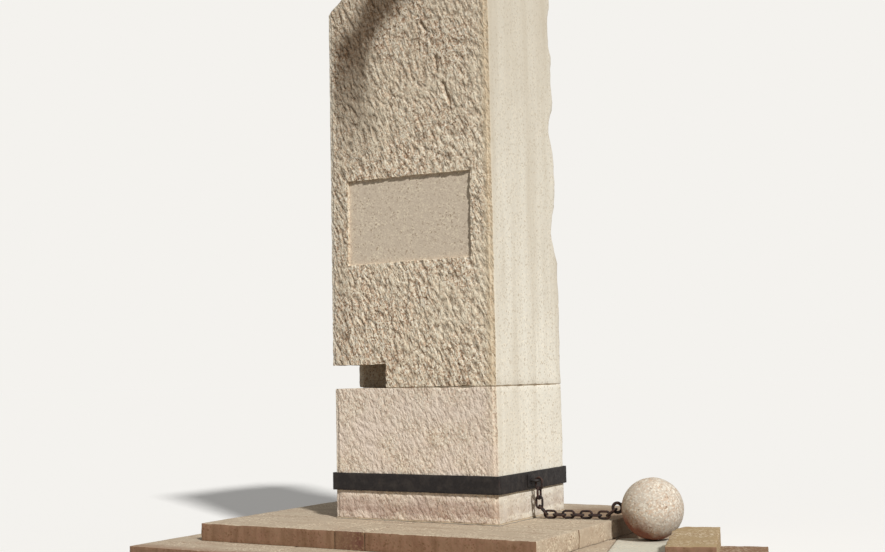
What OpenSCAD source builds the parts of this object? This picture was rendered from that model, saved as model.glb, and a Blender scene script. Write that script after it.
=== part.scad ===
// Granite stele on a two-step platform, with an iron band, a chain and a stone ball.
// Millimetres, +Z up, front towards -Y. The origin is at ground level under the middle of the shaft.

/* [Shaft] */
// Width of the lower block, left to right
lower_w = 1674; // [1400:2:1900]
// Depth of both blocks, front to rear
shaft_d = 1280; // [1100:2:1500]
// Height of the lower block
lower_h = 1153; // [900:1:1400]
// How far the upper block reaches past the lower one on the left
upper_overhang = 26; // [0:1:60]
// Height of the upper block at its low left shoulder
shoulder_h = 3483; // [3000:1:4000]
// Slope of the cut across the top, rising to the right
top_slope = 38; // [20:1:42]
// Thickness of the mortar under the lower block
base_bed_t = 8; // [4:1:15]
// Thickness of the mortar between the blocks
bed_joint_t = 4; // [2:1:10]
// How far both mortar beds stay back from the faces
bed_setback = 16; // [14:1:30]

/* [Stone faces] */
// Width of the smooth margin at the left and right edge of the front
margin_w = 34; // [20:1:60]
// How far the pointed field of the front stands proud of its margins
field_proud = 12; // [4:1:14]
// Deepest hollow in the rough rear face
rear_hollow = 95; // [20:1:140]

/* [Notch and panel] */
// Width of the corner notch, from the upper block's left side
notch_w = 594; // [400:1:700]
// Depth of the corner notch, from the front
notch_d = 448; // [300:1:600]
// Height of the corner notch, from the joint up
notch_h = 220; // [120:1:320]
// Width of the recessed panel
panel_w = 1266; // [900:1:1300]
// Height of the recessed panel
panel_h = 744; // [400:1:900]
// Depth of the recessed panel below the margins
panel_depth = 22; // [10:1:40]
// Distance of the panel from the upper block's left side
panel_from_left = 212; // [150:1:300]
// Height of the panel's lower edge above the joint
panel_up = 1108; // [600:1:1600]

/* [Iron band] */
// Height of the band
band_h = 157; // [130:1:180]
// Thickness of the band
band_t = 20; // [14:1:30]
// Height of the band's lower edge above the platform
band_up = 252; // [235:1:265]
// Radius of the band's outer corners
band_corner_r = 12; // [4:1:14]

/* [Chain] */
// Diameter of the bar that the links are made of
link_bar = 22; // [20:1:24]
// Inner length of a link
link_in_l = 81; // [79:1:86]
// Inner width of a link
link_in_w = 36; // [34:1:42]
// Gap left where one link bears on the next
link_gap = 0.3; // [0.1:0.1:0.8]
// Turn of the chain's run and the ball about the staple
chain_turn = 12; // [3:0.5:15]
// Turn of the first lying link against the run, taken back along the chain
chain_bow = 8; // [0:1:12]

/* [Staple] */
// Diameter of the bar of the staple and of the eye bolt
staple_bar = 28; // [24:1:32]
// Inner radius of the staple's bow
staple_in_r = 24; // [20:1:32]
// Straight stretch of the staple's legs outside its pad
staple_leg = 20; // [18:1:50]
// Thickness of the staple's pad
pad_t = 10; // [6:1:20]
// Height of the staple's pad
pad_h = 110; // [70:1:120]
// Width of the staple's pad
pad_w = 180; // [130:1:260]
// Distance of the staple behind the shaft's middle
staple_y = -60; // [-160:5:-10]

/* [Ball] */
// Diameter of the ball
ball_d = 528; // [460:2:560]
// Diameter of the ball's flat seat
ball_seat_d = 90; // [40:2:140]
// Inner radius of the eye in the ball
eye_in_r = 26; // [24:1:34]
// Diameter of the eye bolt's collar
eye_collar_d = 96; // [80:1:120]
// Thickness of the eye bolt's collar
eye_collar_t = 12; // [6:1:20]
// Length of the eye bolt's shank inside the ball
eye_shank = 110; // [60:5:150]
// Gap between the shank and its hole
shank_gap = 1; // [0.5:0.5:3]

/* [Platform] */
// Height of one step
step_h = 155; // [120:1:180]
// Upper step: reach past the shaft on the left
upper_left = 920; // [600:5:1200]
// Upper step: reach past the shaft on the right
upper_right = 728; // [600:2:770]
// Upper step: reach past the shaft at the front
upper_front = 772; // [500:2:1000]
// Upper step: reach past the shaft at the rear
upper_rear = 580; // [400:5:900]
// Lower step: tread at the left and the rear
lower_tread = 368; // [250:2:500]
// Lower step: tread at the front
lower_front = 508; // [350:2:700]
// How far the upper slabs bear on the lower ones
bearing = 220; // [120:5:320]
// Open joint between slabs
slab_joint = 5; // [2:1:12]
// Width of the narrow slab in the upper front row
narrow_slab_w = 300; // [200:5:500]
// Middle of the narrow slab, from the shaft's middle
narrow_slab_x = -155; // [-500:5:500]
// Joint of the upper rear row, from the shaft's middle
upper_rear_joint = 0; // [-600:10:600]
// Width of the left slab in the lower front row
lower_left_w = 1425; // [900:5:1900]
// Width of the middle slab in the lower front row
lower_middle_w = 1460; // [900:5:1700]
// Joint of the lower rear row, from the shaft's middle
lower_rear_joint = -280; // [-600:10:600]
// Chamfer along the slabs' top arrises
slab_arris = 6; // [2:1:12]

/* [Turned wing] */
// Angle by which the ball's bed and the wing are turned
wing_turn = 17; // [8:1:22]
// Reach of the bed slab from the ball's centre to the left
bed_left = 316; // [280:2:340]
// Reach of the bed slab from the ball's centre to the right
bed_right = 186; // [160:2:260]
// Reach of the bed slab behind the ball's centre
bed_back = 120; // [90:5:260]
// Front end of the bed and the wing, from the ball's centre
wing_front = 1960; // [1600:10:2100]
// Rear end of the wing slab, from the ball's centre
wing_back = 290; // [270:5:400]
// Width of the wing slab
wing_w = 745; // [600:5:1000]
// Width of the block on the wing slab
block_wide = 375; // [280:5:500]
// How far the block stays back from the wing slab's rear end
block_back = 30; // [10:5:100]
// Tread of the wing slab in front of the block
block_front = 440; // [300:5:600]
// Length of the block's broken corner, along its left side
chip_l = 290; // [100:5:400]
// Width of the block's broken corner
chip_w = 105; // [40:5:160]

/* [Hidden] */
$fn = 96;

// Stone, mortar and iron colours
granite_pale = "#D9CDB8";
granite_floor = "#DBD0C0";
granite_brown = "#A98F78";
granite_dark = "#8A6A58";
mortar_grey = "#C9BBA4";
iron_black = "#3B3733";
iron_rust = "#5A4236";
concrete_grey = "#A9A298";

// Cuts run this far past the faces that they open
cut_past = 10;

// Heights of the main levels
tread_z = step_h;
platform_z = 2 * step_h;
lower_z = platform_z + base_bed_t;
joint_z = lower_z + lower_h;
upper_z = joint_z + bed_joint_t;

// Plan of the shaft
shaft_left = -lower_w / 2;
shaft_right = lower_w / 2;
shaft_front = -shaft_d / 2;
shaft_rear = shaft_d / 2;
block_left = shaft_left - upper_overhang;
block_w = lower_w + upper_overhang;
crest_h = shoulder_h + block_w * tan(top_slope);

// Rough rear face: share of the crest's height, share of the deepest hollow
rear_profile = [
    [0, 0], [0.24, 0.25], [0.28, 0.9], [0.33, 0.85], [0.36, 0.35], [0.47, 0.4],
    [0.5, 0.8], [0.53, 0.45], [0.66, 0.5], [0.69, 1], [0.72, 0.65], [1, 0.85]
];

// Plan of the upper step
up_x0 = shaft_left - upper_left;
up_x1 = shaft_right + upper_right;
up_y0 = shaft_front - upper_front;
up_y1 = shaft_rear + upper_rear;

// Joints in plan: each slab stays half a joint back
half_joint = slab_joint / 2;
narrow_x0 = narrow_slab_x - narrow_slab_w / 2;
narrow_x1 = narrow_slab_x + narrow_slab_w / 2;

// Plan of the lower step: its outer edges, and its inner ones under the upper step
low_x0 = up_x0 - lower_tread;
low_y0 = up_y0 - lower_front;
low_y1 = up_y1 + lower_tread;
in_x0 = up_x0 + bearing;
in_x1 = up_x1 - bearing;
in_y0 = up_y0 + bearing;
in_y1 = up_y1 - bearing;
front_joint_1 = low_x0 + lower_left_w;
front_joint_2 = front_joint_1 + lower_middle_w;

// Turned wing, in its own frame: the joint beside the ball's bed, and the block's plan
wing_a0 = bed_right + half_joint;
block_a1 = wing_a0 + block_wide;
block_b0 = block_front - wing_front;
block_b1 = -wing_back - block_back;

// Where the block's broken corner bends, as shares of its width and length
chip_bend = [0.4, 0.5];

// Slabs that a slanting joint cuts are drawn past every other piece first
before_cut = low_y1 - low_y0 + wing_front + wing_w;

// Band: its outer faces and its lower edge
band_x_out = shaft_right + band_t;
band_y_out = shaft_rear + band_t;
band_z = platform_z + band_up;

// Sizes of a link, the staple and the eye
bar_r = link_bar / 2;
bow_r = link_in_w / 2 + bar_r;
leg_l = link_in_l - link_in_w;
reach = link_in_l + link_bar;
staple_r = staple_bar / 2;
staple_mid_r = staple_in_r + staple_r;
eye_mid_r = eye_in_r + staple_r;

// Staple: the bow's outermost point, where the first link hangs
pad_face_x = band_x_out + pad_t;
hang_x = pad_face_x + staple_leg + staple_mid_r;
staple_z = band_z + band_h / 2;

// Hanging links: the middle of each
link_1_z = staple_z + staple_r + link_gap - link_in_l / 2;
link_2_z = link_1_z - link_in_l + link_gap;
link_3_z = link_2_z - link_in_l + link_gap;

// Where a link's end bar lies in the bow of the next: low in it and drawn along the chain
seat = (link_in_w / 2 - bar_r - link_gap) * sin(45);
eye_seat = (eye_in_r - bar_r - link_gap) * sin(45);
stand_z = platform_z + bow_r + bar_r + link_gap;
lying_z = stand_z - seat;

// The first lying link comes down from the hanging ones
down_z = link_3_z - link_in_l / 2 + bar_r + link_gap;
down_tilt = asin((down_z - lying_z) / reach);
down_run = reach * cos(down_tilt);

// Plan of the run: each link's own heading, and the corners where headings change
heading = [for (k = [0:8]) chain_turn + chain_bow * (4 - k) / 4];
seat_back = bow_r - seat;
gap_run = reach - 2 * seat_back;
first_run = down_run - seat_back;

function ahead(length, angle) = [length * cos(angle), length * sin(angle)];

turn_0 = [hang_x, staple_y];
turn_1 = turn_0 + ahead(first_run, heading[0]);
turn_2 = turn_1 + ahead(reach, heading[1]);
turn_3 = turn_2 + ahead(gap_run, heading[2]);
turn_4 = turn_3 + ahead(reach, heading[3]);
turn_5 = turn_4 + ahead(gap_run, heading[4]);
turn_6 = turn_5 + ahead(reach, heading[5]);
turn_7 = turn_6 + ahead(gap_run, heading[6]);
turn_8 = turn_7 + ahead(reach, heading[7]);

// The ball's height, and the last link that rises to its eye
ball_r = ball_d / 2;
ball_sink = ball_r - sqrt(pow(ball_r, 2) - pow(ball_seat_d / 2, 2));
ball_z = tread_z + ball_r - ball_sink;
rise_tilt = asin((ball_z - eye_seat - lying_z) / reach);
rise_run = reach * cos(rise_tilt) - seat_back;

// The eye and the ball stand where the chain ends
eye_flat = sqrt(pow(ball_r, 2) - pow(eye_collar_d / 2, 2));
eye_at = turn_8 + ahead(rise_run + eye_seat, heading[8]);
ball_at = eye_at + ahead(eye_mid_r + eye_collar_t + eye_flat, heading[8]);

// A slab over a rectangle in plan, with chamfered top arrises
module slab(x0, x1, y0, y1, z0, z1) {
    intersection() {
        translate([0, y1, 0])
            rotate([90, 0, 0])
                linear_extrude(height = y1 - y0)
                    slab_section(x0, x1, z0, z1);
        translate([x0, 0, 0])
            rotate([90, 0, 90])
                linear_extrude(height = x1 - x0)
                    slab_section(y0, y1, z0, z1);
    }
}

module slab_section(u0, u1, z0, z1) {
    polygon([
        [u0, z0], [u1, z0], [u1, z1 - slab_arris], [u1 - slab_arris, z1],
        [u0 + slab_arris, z1], [u0, z1 - slab_arris]
    ]);
}

module box(x0, x1, y0, y1, z0, z1) {
    translate([x0, y0, z0])
        cube([x1 - x0, y1 - y0, z1 - z0]);
}

// The frame of the ball's bed and the wing, turned about the ball
module turned() {
    translate([ball_at.x, ball_at.y, 0])
        rotate([0, 0, wing_turn])
            children();
}

// Footing, mortar and the two blocks of the shaft

module footing() {
    color(concrete_grey)
        union() {
            box(in_x0 + half_joint, in_x1 - half_joint, in_y0 + half_joint, in_y1 - half_joint, 0, tread_z);
            box(shaft_left, shaft_right, shaft_front, shaft_rear, 0, platform_z);
        }
}

module base_mortar() {
    color(mortar_grey)
        box(shaft_left + bed_setback, shaft_right - bed_setback,
            shaft_front + bed_setback, shaft_rear - bed_setback, platform_z, lower_z);
}

module lower_block() {
    color(granite_pale)
        union() {
            box(shaft_left, shaft_right, shaft_front + field_proud, shaft_rear, lower_z, joint_z);
            box(shaft_left + margin_w, shaft_right - margin_w,
                shaft_front, shaft_front + field_proud, lower_z, joint_z);
        }
}

module notch_space(clearance) {
    box(block_left - cut_past, block_left + notch_w + clearance,
        shaft_front - cut_past, shaft_front + notch_d + clearance,
        joint_z - cut_past, joint_z + notch_h);
}

module bed_mortar() {
    color(mortar_grey)
        difference() {
            box(shaft_left + bed_setback, shaft_right - bed_setback,
                shaft_front + bed_setback, shaft_rear - bed_setback, joint_z, upper_z);
            notch_space(bed_setback);
        }
}

// The shaft's outline seen from the front, between two sides
module front_outline(x0, x1) {
    polygon([
        [x0, upper_z], [x1, upper_z],
        [x1, top_at(x1)], [x0, top_at(x0)]
    ]);
}

function top_at(x) = upper_z + shoulder_h + (x - block_left) * tan(top_slope);

module upright(x0, x1, y0, y1) {
    translate([0, y1, 0])
        rotate([90, 0, 0])
            linear_extrude(height = y1 - y0)
                front_outline(x0, x1);
}

// The block's outline seen from the side, with the hollows of its rough rear face
module side_outline() {
    rear = [for (p = rear_profile) [shaft_rear - rear_hollow * p[1], upper_z + crest_h * p[0]]];
    polygon(concat(
        [[shaft_front, upper_z + crest_h], [shaft_front, upper_z]],
        rear
    ));
}

module panel_space() {
    box(block_left + panel_from_left, block_left + panel_from_left + panel_w,
        shaft_front - cut_past, shaft_front + field_proud + panel_depth,
        joint_z + panel_up, joint_z + panel_up + panel_h);
}

module upper_block() {
    color(granite_pale)
        difference() {
            intersection() {
                union() {
                    upright(block_left, shaft_right, shaft_front + field_proud, shaft_rear);
                    upright(block_left + margin_w, shaft_right - margin_w,
                        shaft_front, shaft_front + field_proud);
                }
                translate([block_left, 0, 0])
                    rotate([90, 0, 90])
                        linear_extrude(height = block_w)
                            side_outline();
            }
            notch_space(0);
            panel_space();
        }
}

// Iron band: four straps, the front and rear ones round the corners

module band_plan() {
    inner_x = band_x_out - band_corner_r;
    inner_y = band_y_out - band_corner_r;
    union() {
        square([2 * inner_x, 2 * band_y_out], center = true);
        square([2 * band_x_out, 2 * inner_y], center = true);
        for (sx = [-1, 1])
            for (sy = [-1, 1])
                translate([sx * inner_x, sy * inner_y])
                    circle(r = band_corner_r);
    }
}

module front_strap() {
    intersection() {
        translate([0, 0, band_z])
            linear_extrude(height = band_h)
                band_plan();
        box(-band_x_out, band_x_out, -band_y_out, shaft_front, band_z, band_z + band_h);
    }
}

module side_strap() {
    box(shaft_right, band_x_out, shaft_front, shaft_rear, band_z, band_z + band_h);
}

module band_front() {
    color(iron_black) front_strap();
}

module band_rear() {
    color(iron_black) mirror([0, 1, 0]) front_strap();
}

module band_right() {
    color(iron_black) side_strap();
}

module band_left() {
    color(iron_black) mirror([1, 0, 0]) side_strap();
}

// Staple: a pad on the right strap with a bow of round bar standing out of it

module round_bar(length, radius) {
    rotate([0, 90, 0])
        cylinder(r = radius, h = length);
}

module half_ring(mid_r, radius) {
    rotate([0, 0, -90])
        rotate_extrude(angle = 180)
            translate([mid_r, 0])
                circle(r = radius);
}

module band_staple() {
    color(iron_black)
        translate([band_x_out, staple_y, staple_z])
            union() {
                box(0, pad_t, -pad_w / 2, pad_w / 2, -pad_h / 2, pad_h / 2);
                for (side = [-1, 1])
                    translate([pad_t / 2, side * staple_mid_r, 0])
                        round_bar(pad_t / 2 + staple_leg, staple_r);
                translate([pad_t + staple_leg, 0, 0])
                    half_ring(staple_mid_r, staple_r);
            }
}

// A link: two bows and two legs of round bar, along X and flat in XY
module link() {
    union() {
        for (end = [0, 1])
            rotate([0, 0, 180 * end])
                translate([leg_l / 2, 0, 0])
                    half_ring(bow_r, bar_r);
        for (side = [-1, 1])
            translate([-leg_l / 2, side * bow_r, 0])
                round_bar(leg_l, bar_r);
    }
}

// A link that hangs below the staple, turned about the upright
module hanging_link(z, turn) {
    color(iron_rust)
        translate([hang_x, staple_y, z])
            rotate([0, 90, turn])
                link();
}

// A link on its edge, from the middle of one end bar at a corner of the run
module standing_link(from, angle) {
    middle = from + ahead(reach / 2, angle);
    color(iron_rust)
        translate([middle.x, middle.y, stand_z])
            rotate([90, 0, angle])
                link();
}

// A flat link, from the middle of its first end bar, rising by a tilt
module flat_link(from, angle, z, tilt) {
    middle = from + ahead(reach / 2 * cos(tilt), angle);
    color(iron_rust)
        translate([middle.x, middle.y, z + reach / 2 * sin(tilt)])
            rotate([0, -tilt, angle])
                link();
}

// A flat link whose first end bar lies in the bow of a standing link that ends at a corner
module link_after(corner, angle, tilt) {
    flat_link(corner - ahead(seat_back, angle), angle, lying_z, tilt);
}

module chain_link_1() { hanging_link(link_1_z, 90); }
module chain_link_2() { hanging_link(link_2_z, 0); }
module chain_link_3() { hanging_link(link_3_z, 90); }
module chain_link_4() { flat_link(turn_0, heading[0], down_z, -down_tilt); }
module chain_link_5() { standing_link(turn_1, heading[1]); }
module chain_link_6() { link_after(turn_2, heading[2], 0); }
module chain_link_7() { standing_link(turn_3, heading[3]); }
module chain_link_8() { link_after(turn_4, heading[4], 0); }
module chain_link_9() { standing_link(turn_5, heading[5]); }
module chain_link_10() { link_after(turn_6, heading[6], 0); }
module chain_link_11() { standing_link(turn_7, heading[7]); }
module chain_link_12() { link_after(turn_8, heading[8], rise_tilt); }

// Ball and its eye bolt, which points back along the chain

// The frame of the eye: from the ball's middle, +X out through the eye
module toward_chain() {
    translate([ball_at.x, ball_at.y, ball_z])
        rotate([0, 0, 180 + heading[8]])
            children();
}

module ball_eye() {
    color(iron_rust)
        toward_chain()
            union() {
                translate([eye_flat - eye_shank, 0, 0])
                    round_bar(eye_shank + eye_collar_t / 2, staple_r);
                translate([eye_flat, 0, 0])
                    round_bar(eye_collar_t, eye_collar_d / 2);
                translate([eye_flat + eye_collar_t + eye_mid_r, 0, 0])
                    rotate([90, 0, 0])
                        rotate_extrude()
                            translate([eye_mid_r, 0])
                                circle(r = staple_r);
            }
}

module ball() {
    color(granite_pale)
        difference() {
            translate([ball_at.x, ball_at.y, ball_z])
                sphere(r = ball_r);
            box(ball_at.x - ball_r, ball_at.x + ball_r, ball_at.y - ball_r, ball_at.y + ball_r,
                tread_z - ball_sink - cut_past, tread_z);
            toward_chain() {
                box(eye_flat, ball_r + cut_past, -eye_collar_d, eye_collar_d, -eye_collar_d, eye_collar_d);
                translate([eye_flat - eye_shank - shank_gap, 0, 0])
                    round_bar(ball_r, staple_r + shank_gap);
            }
        }
}

// Upper step

module upper_slab(x0, x1, y0, y1, tone) {
    color(tone) slab(x0, x1, y0, y1, tread_z, platform_z);
}

module upper_front_left() {
    upper_slab(up_x0, narrow_x0 - half_joint, up_y0, shaft_front - half_joint, granite_brown);
}

module upper_front_narrow() {
    upper_slab(narrow_x0 + half_joint, narrow_x1 - half_joint, up_y0, shaft_front - half_joint, granite_dark);
}

module upper_front_right() {
    upper_slab(narrow_x1 + half_joint, up_x1, up_y0, shaft_front - half_joint, granite_brown);
}

module upper_left_slab() {
    upper_slab(up_x0, shaft_left - half_joint, shaft_front + half_joint, shaft_rear - half_joint,
        granite_brown);
}

module upper_right_slab() {
    upper_slab(shaft_right + half_joint, up_x1, shaft_front + half_joint, shaft_rear - half_joint,
        granite_brown);
}

module upper_rear_left() {
    upper_slab(up_x0, upper_rear_joint - half_joint, shaft_rear + half_joint, up_y1, granite_brown);
}

module upper_rear_right() {
    upper_slab(upper_rear_joint + half_joint, up_x1, shaft_rear + half_joint, up_y1, granite_brown);
}

// Lower step: a ring of slabs that the upper ones bear on, and a wedge beside the ball's bed

module lower_slab(x0, x1, y0, y1) {
    color(granite_brown) slab(x0, x1, y0, y1, 0, tread_z);
}

// Keeps what lies to the left of the ball's bed
module left_of_bed() {
    intersection() {
        children();
        turned()
            box(-before_cut, -bed_left - half_joint, -before_cut, before_cut, -cut_past, tread_z + cut_past);
    }
}

module lower_front_left() {
    lower_slab(low_x0, front_joint_1 - half_joint, low_y0, in_y0 - half_joint);
}

module lower_front_middle() {
    lower_slab(front_joint_1 + half_joint, front_joint_2 - half_joint, low_y0, in_y0 - half_joint);
}

module lower_front_right() {
    color(granite_brown)
        left_of_bed()
            lower_slab(front_joint_2 + half_joint, before_cut, low_y0, in_y0 - half_joint);
}

module lower_left_slab() {
    lower_slab(low_x0, in_x0 - half_joint, in_y0 + half_joint, in_y1 - half_joint);
}

module lower_right_slab() {
    lower_slab(in_x1 + half_joint, up_x1 - half_joint, in_y0 + half_joint, in_y1 - half_joint);
}

module lower_rear_left() {
    lower_slab(low_x0, lower_rear_joint - half_joint, in_y1 + half_joint, low_y1);
}

module lower_rear_right() {
    lower_slab(lower_rear_joint + half_joint, up_x1 - half_joint, in_y1 + half_joint, low_y1);
}

module lower_wedge_slab() {
    color(granite_brown)
        left_of_bed()
            lower_slab(up_x1 + half_joint, before_cut, in_y0 + half_joint, before_cut);
}

// The ball's bed and the wing beside it

module ball_bed() {
    color(granite_floor)
        intersection() {
            turned()
                slab(-bed_left + half_joint, bed_right - half_joint, -wing_front, bed_back, 0, tread_z);
            box(up_x1 + half_joint, before_cut, -before_cut, before_cut, -cut_past, tread_z + cut_past);
        }
}

module wing_slab() {
    color(granite_brown)
        turned()
            slab(wing_a0, wing_a0 + wing_w, -wing_front, -wing_back, 0, tread_z);
}

module wing_block() {
    color(granite_brown)
        turned()
            intersection() {
                slab(wing_a0, block_a1, block_b0, block_b1, tread_z, platform_z);
                translate([0, 0, tread_z])
                    linear_extrude(height = step_h)
                        polygon([
                            [wing_a0, block_b0], [block_a1, block_b0], [block_a1, block_b1],
                            [wing_a0 + chip_w, block_b1],
                            [wing_a0 + chip_w * chip_bend.x, block_b1 - chip_l * chip_bend.y],
                            [wing_a0, block_b1 - chip_l]
                        ]);
            }
}

footing();
base_mortar();
lower_block();
bed_mortar();
upper_block();
band_front();
band_right();
band_rear();
band_left();
band_staple();
chain_link_1();
chain_link_2();
chain_link_3();
chain_link_4();
chain_link_5();
chain_link_6();
chain_link_7();
chain_link_8();
chain_link_9();
chain_link_10();
chain_link_11();
chain_link_12();
ball_eye();
ball();
upper_front_left();
upper_front_narrow();
upper_front_right();
upper_left_slab();
upper_right_slab();
upper_rear_left();
upper_rear_right();
lower_front_left();
lower_front_middle();
lower_front_right();
lower_left_slab();
lower_right_slab();
lower_rear_left();
lower_rear_right();
lower_wedge_slab();
ball_bed();
wing_slab();
wing_block();
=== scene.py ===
"""Looks of a granite stele with an iron band, a chain and a stone ball on a two-step platform."""
import math

import bmesh
import bpy
from bpy.props import FloatProperty, FloatVectorProperty, IntProperty, PointerProperty
from mathutils import Matrix, Vector, noise


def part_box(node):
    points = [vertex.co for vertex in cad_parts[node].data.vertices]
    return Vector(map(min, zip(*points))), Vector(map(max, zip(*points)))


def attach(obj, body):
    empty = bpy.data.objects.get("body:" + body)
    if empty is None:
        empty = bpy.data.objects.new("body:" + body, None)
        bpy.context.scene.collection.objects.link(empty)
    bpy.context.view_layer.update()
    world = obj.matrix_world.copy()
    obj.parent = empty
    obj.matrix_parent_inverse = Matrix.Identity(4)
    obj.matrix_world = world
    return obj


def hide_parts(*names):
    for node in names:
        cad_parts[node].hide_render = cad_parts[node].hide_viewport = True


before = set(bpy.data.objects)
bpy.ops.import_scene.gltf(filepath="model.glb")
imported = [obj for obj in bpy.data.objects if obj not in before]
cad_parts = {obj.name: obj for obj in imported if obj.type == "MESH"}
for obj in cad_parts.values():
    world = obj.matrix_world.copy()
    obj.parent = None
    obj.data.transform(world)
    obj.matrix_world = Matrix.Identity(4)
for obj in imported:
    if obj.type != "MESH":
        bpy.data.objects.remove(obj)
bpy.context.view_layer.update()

bl_info = {
    "name": "Granite stele",
    "version": (1, 0, 0),
    "blender": (4, 5, 0),
    "location": "View3D > Sidebar > Stele",
    "description": "Stone, iron and mortar surfaces of a stele on its platform, with a plain stage",
    "category": "Object",
}

MM = 0.001
# Blender starts its vector noise, which bends the strokes, from the clock unless it is given a seed
STROKE_SEED = 1

UPPER_STEP = ("upper_front_left", "upper_front_narrow", "upper_front_right", "upper_left_slab",
              "upper_right_slab", "upper_rear_left", "upper_rear_right")
LOWER_STEP = ("lower_front_left", "lower_front_middle", "lower_left_slab", "lower_right_slab",
              "lower_rear_left", "lower_rear_right")
STRAPS = ("band_front", "band_right", "band_rear", "band_left")
LINKS = tuple(sorted((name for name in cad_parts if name.startswith("chain_link_")),
                     key=lambda name: int(name.rsplit("_", 1)[1])))

# The upright sides of a box: an axis, and its low or high side
ALL_SIDES = ((0, -1), (0, 1), (1, -1), (1, 1))
# Numbers of the finishes on the blocks of the shaft, after the front's, and the sides that take them
AXED, SPLIT, PANEL_FLOOR = 1, 2, 3
WORKED_SIDES = ((AXED, (0, 1)), (AXED, (0, -1)), (SPLIT, (1, 1)), (SPLIT, (2, 1)), (SPLIT, (2, -1)))
# Edges that turn by more than this, in radians, are sharp enough to round off
SHARP = 0.6
# Edges of the shaft's blocks that turn by less than this, in degrees, are shaded smooth
BLOCK_SMOOTH = 45
# Share of a face's normal along an axis, past which the face looks that way
LOOKS, LOOKS_STRAIGHT = 0.7, 0.9


def linear(hex_code):
    """A colour written as an sRGB hex code, as the linear values that shaders read."""
    channels = [int(hex_code[place:place + 2], 16) / 255 for place in (1, 3, 5)]
    return tuple(c / 12.92 if c <= 0.04045 else ((c + 0.055) / 1.055) ** 2.4 for c in channels) + (1.0,)


def colour(label, text, hex_code):
    """A colour property with its default given as a hex code."""
    return FloatVectorProperty(name=label, description=text, subtype="COLOR", size=4, min=0, max=1,
                               default=linear(hex_code))


def number(label, text, value, **details):
    """A plain number as a property."""
    return FloatProperty(name=label, description=text, default=value, **details)


def length(label, text, millimetres):
    """A length property with its default given in millimetres."""
    return number(label, text, millimetres * MM, unit="LENGTH", precision=4)


def angle(label, text, degrees):
    """An angle property with its default given in degrees."""
    return number(label, text, math.radians(degrees), subtype="ANGLE")


class SteleStone(bpy.types.PropertyGroup):
    margin: length("Margin", "Width of the smooth margins of the front", 34)
    field: length("Field", "How far the pointed field stands proud of the margins", 12)
    stroke_width: length("Stroke width", "Width of one stroke of the mason's point", 33)
    stroke_height: length("Stroke height", "Height of one stroke of the mason's point", 62)
    stroke_lean: number("Stroke lean", "How far a stroke leans back as it rises", 0.4)
    upper_depth: length("Upper depth", "Depth of the strokes on the upper block", 13)
    lower_depth: length("Lower depth", "Depth of the strokes on the lower block", 6)
    front_pitch: length("Front pitch", "Mesh spacing across the pointed fronts", 8.5)
    front_rows: length("Front rows", "Mesh spacing up the front of the upper block, at its high side", 14)
    side_pitch: length("Side pitch", "Mesh spacing on the other faces", 40)
    slab_pitch: length("Slab pitch", "Mesh spacing on the slabs", 26)
    arris: length("Arris", "Wear along the edges of blocks and slabs", 6)
    chip: length("Chip", "Depth of the chips along the edges", 9)
    rear_depth: length("Rear depth", "Depth of the breaks in the split rear face", 38)
    rear_hollow: length("Rear hollow", "Deepest hollow of the rear face", 95)
    riven: length("Riven", "Unevenness of the slabs' outer faces", 7)
    joint: length("Joint", "Open joint between slabs", 5)
    base_bead: length("Base bead", "How far the lowest mortar reaches past its bed", 22)
    joint_fill: length("Joint fill", "How far the upper joint's mortar reaches past its bed", 14)
    top_slope: angle("Top slope", "Slope of the cut across the top", 38)
    notch_w: length("Notch width", "Width of the corner notch", 594)
    notch_d: length("Notch depth", "Depth of the corner notch", 448)
    notch_h: length("Notch height", "Height of the corner notch", 220)
    panel_left: length("Panel place", "Distance of the panel from the block's left side", 190)
    panel_up: length("Panel level", "Height of the panel's lower edge above the joint", 1108)
    panel_w: length("Panel width", "Width of the recessed panel", 1300)
    panel_h: length("Panel height", "Height of the recessed panel", 778)
    panel_depth: length("Panel depth", "Depth of the panel below the margins", 22)
    panel_fall: length("Panel fall", "Fall of the panel's upper edge from its left to its right end", 20)
    wing_turn: angle("Wing turn", "Turn of the ball's bed and the wing", 17)
    chip_l: length("Broken corner length", "Length of the block's broken corner", 290)
    chip_w: length("Broken corner width", "Width of the block's broken corner", 105)


class SteleIron(bpy.types.PropertyGroup):
    hammer: length("Hammer", "Depth of the hammer's dents in the band", 1.6)
    hammer_size: length("Hammer size", "Width of one hammer dent", 45)
    link_bar: length("Link bar", "Diameter of the bar of the links", 22)
    link_inner: length("Link width", "Inner width of a link", 36)
    link_length: length("Link length", "Inner length of a link", 81)
    weld: length("Weld", "How far the forge weld swells on one leg of a link", 1.6)
    forge: length("Forge", "Unevenness of the forged bar", 0.9)
    corner: length("Band corner", "Radius of the band's outer corners", 12)
    pad: length("Pad", "Thickness of the staple's pad", 10)
    staple_bar: length("Staple bar", "Diameter of the bar of the staple and the eye", 28)
    staple_inner: length("Staple bow", "Inner radius of the staple's bow", 24)
    eye_inner: length("Eye", "Inner radius of the eye", 26)
    collar_d: length("Collar", "Diameter of the eye bolt's collar", 96)
    collar_t: length("Collar thickness", "Thickness of the eye bolt's collar", 12)
    sides: IntProperty(name="Sides", description="Facets round the forged bar", default=20, min=8, max=64)


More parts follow.
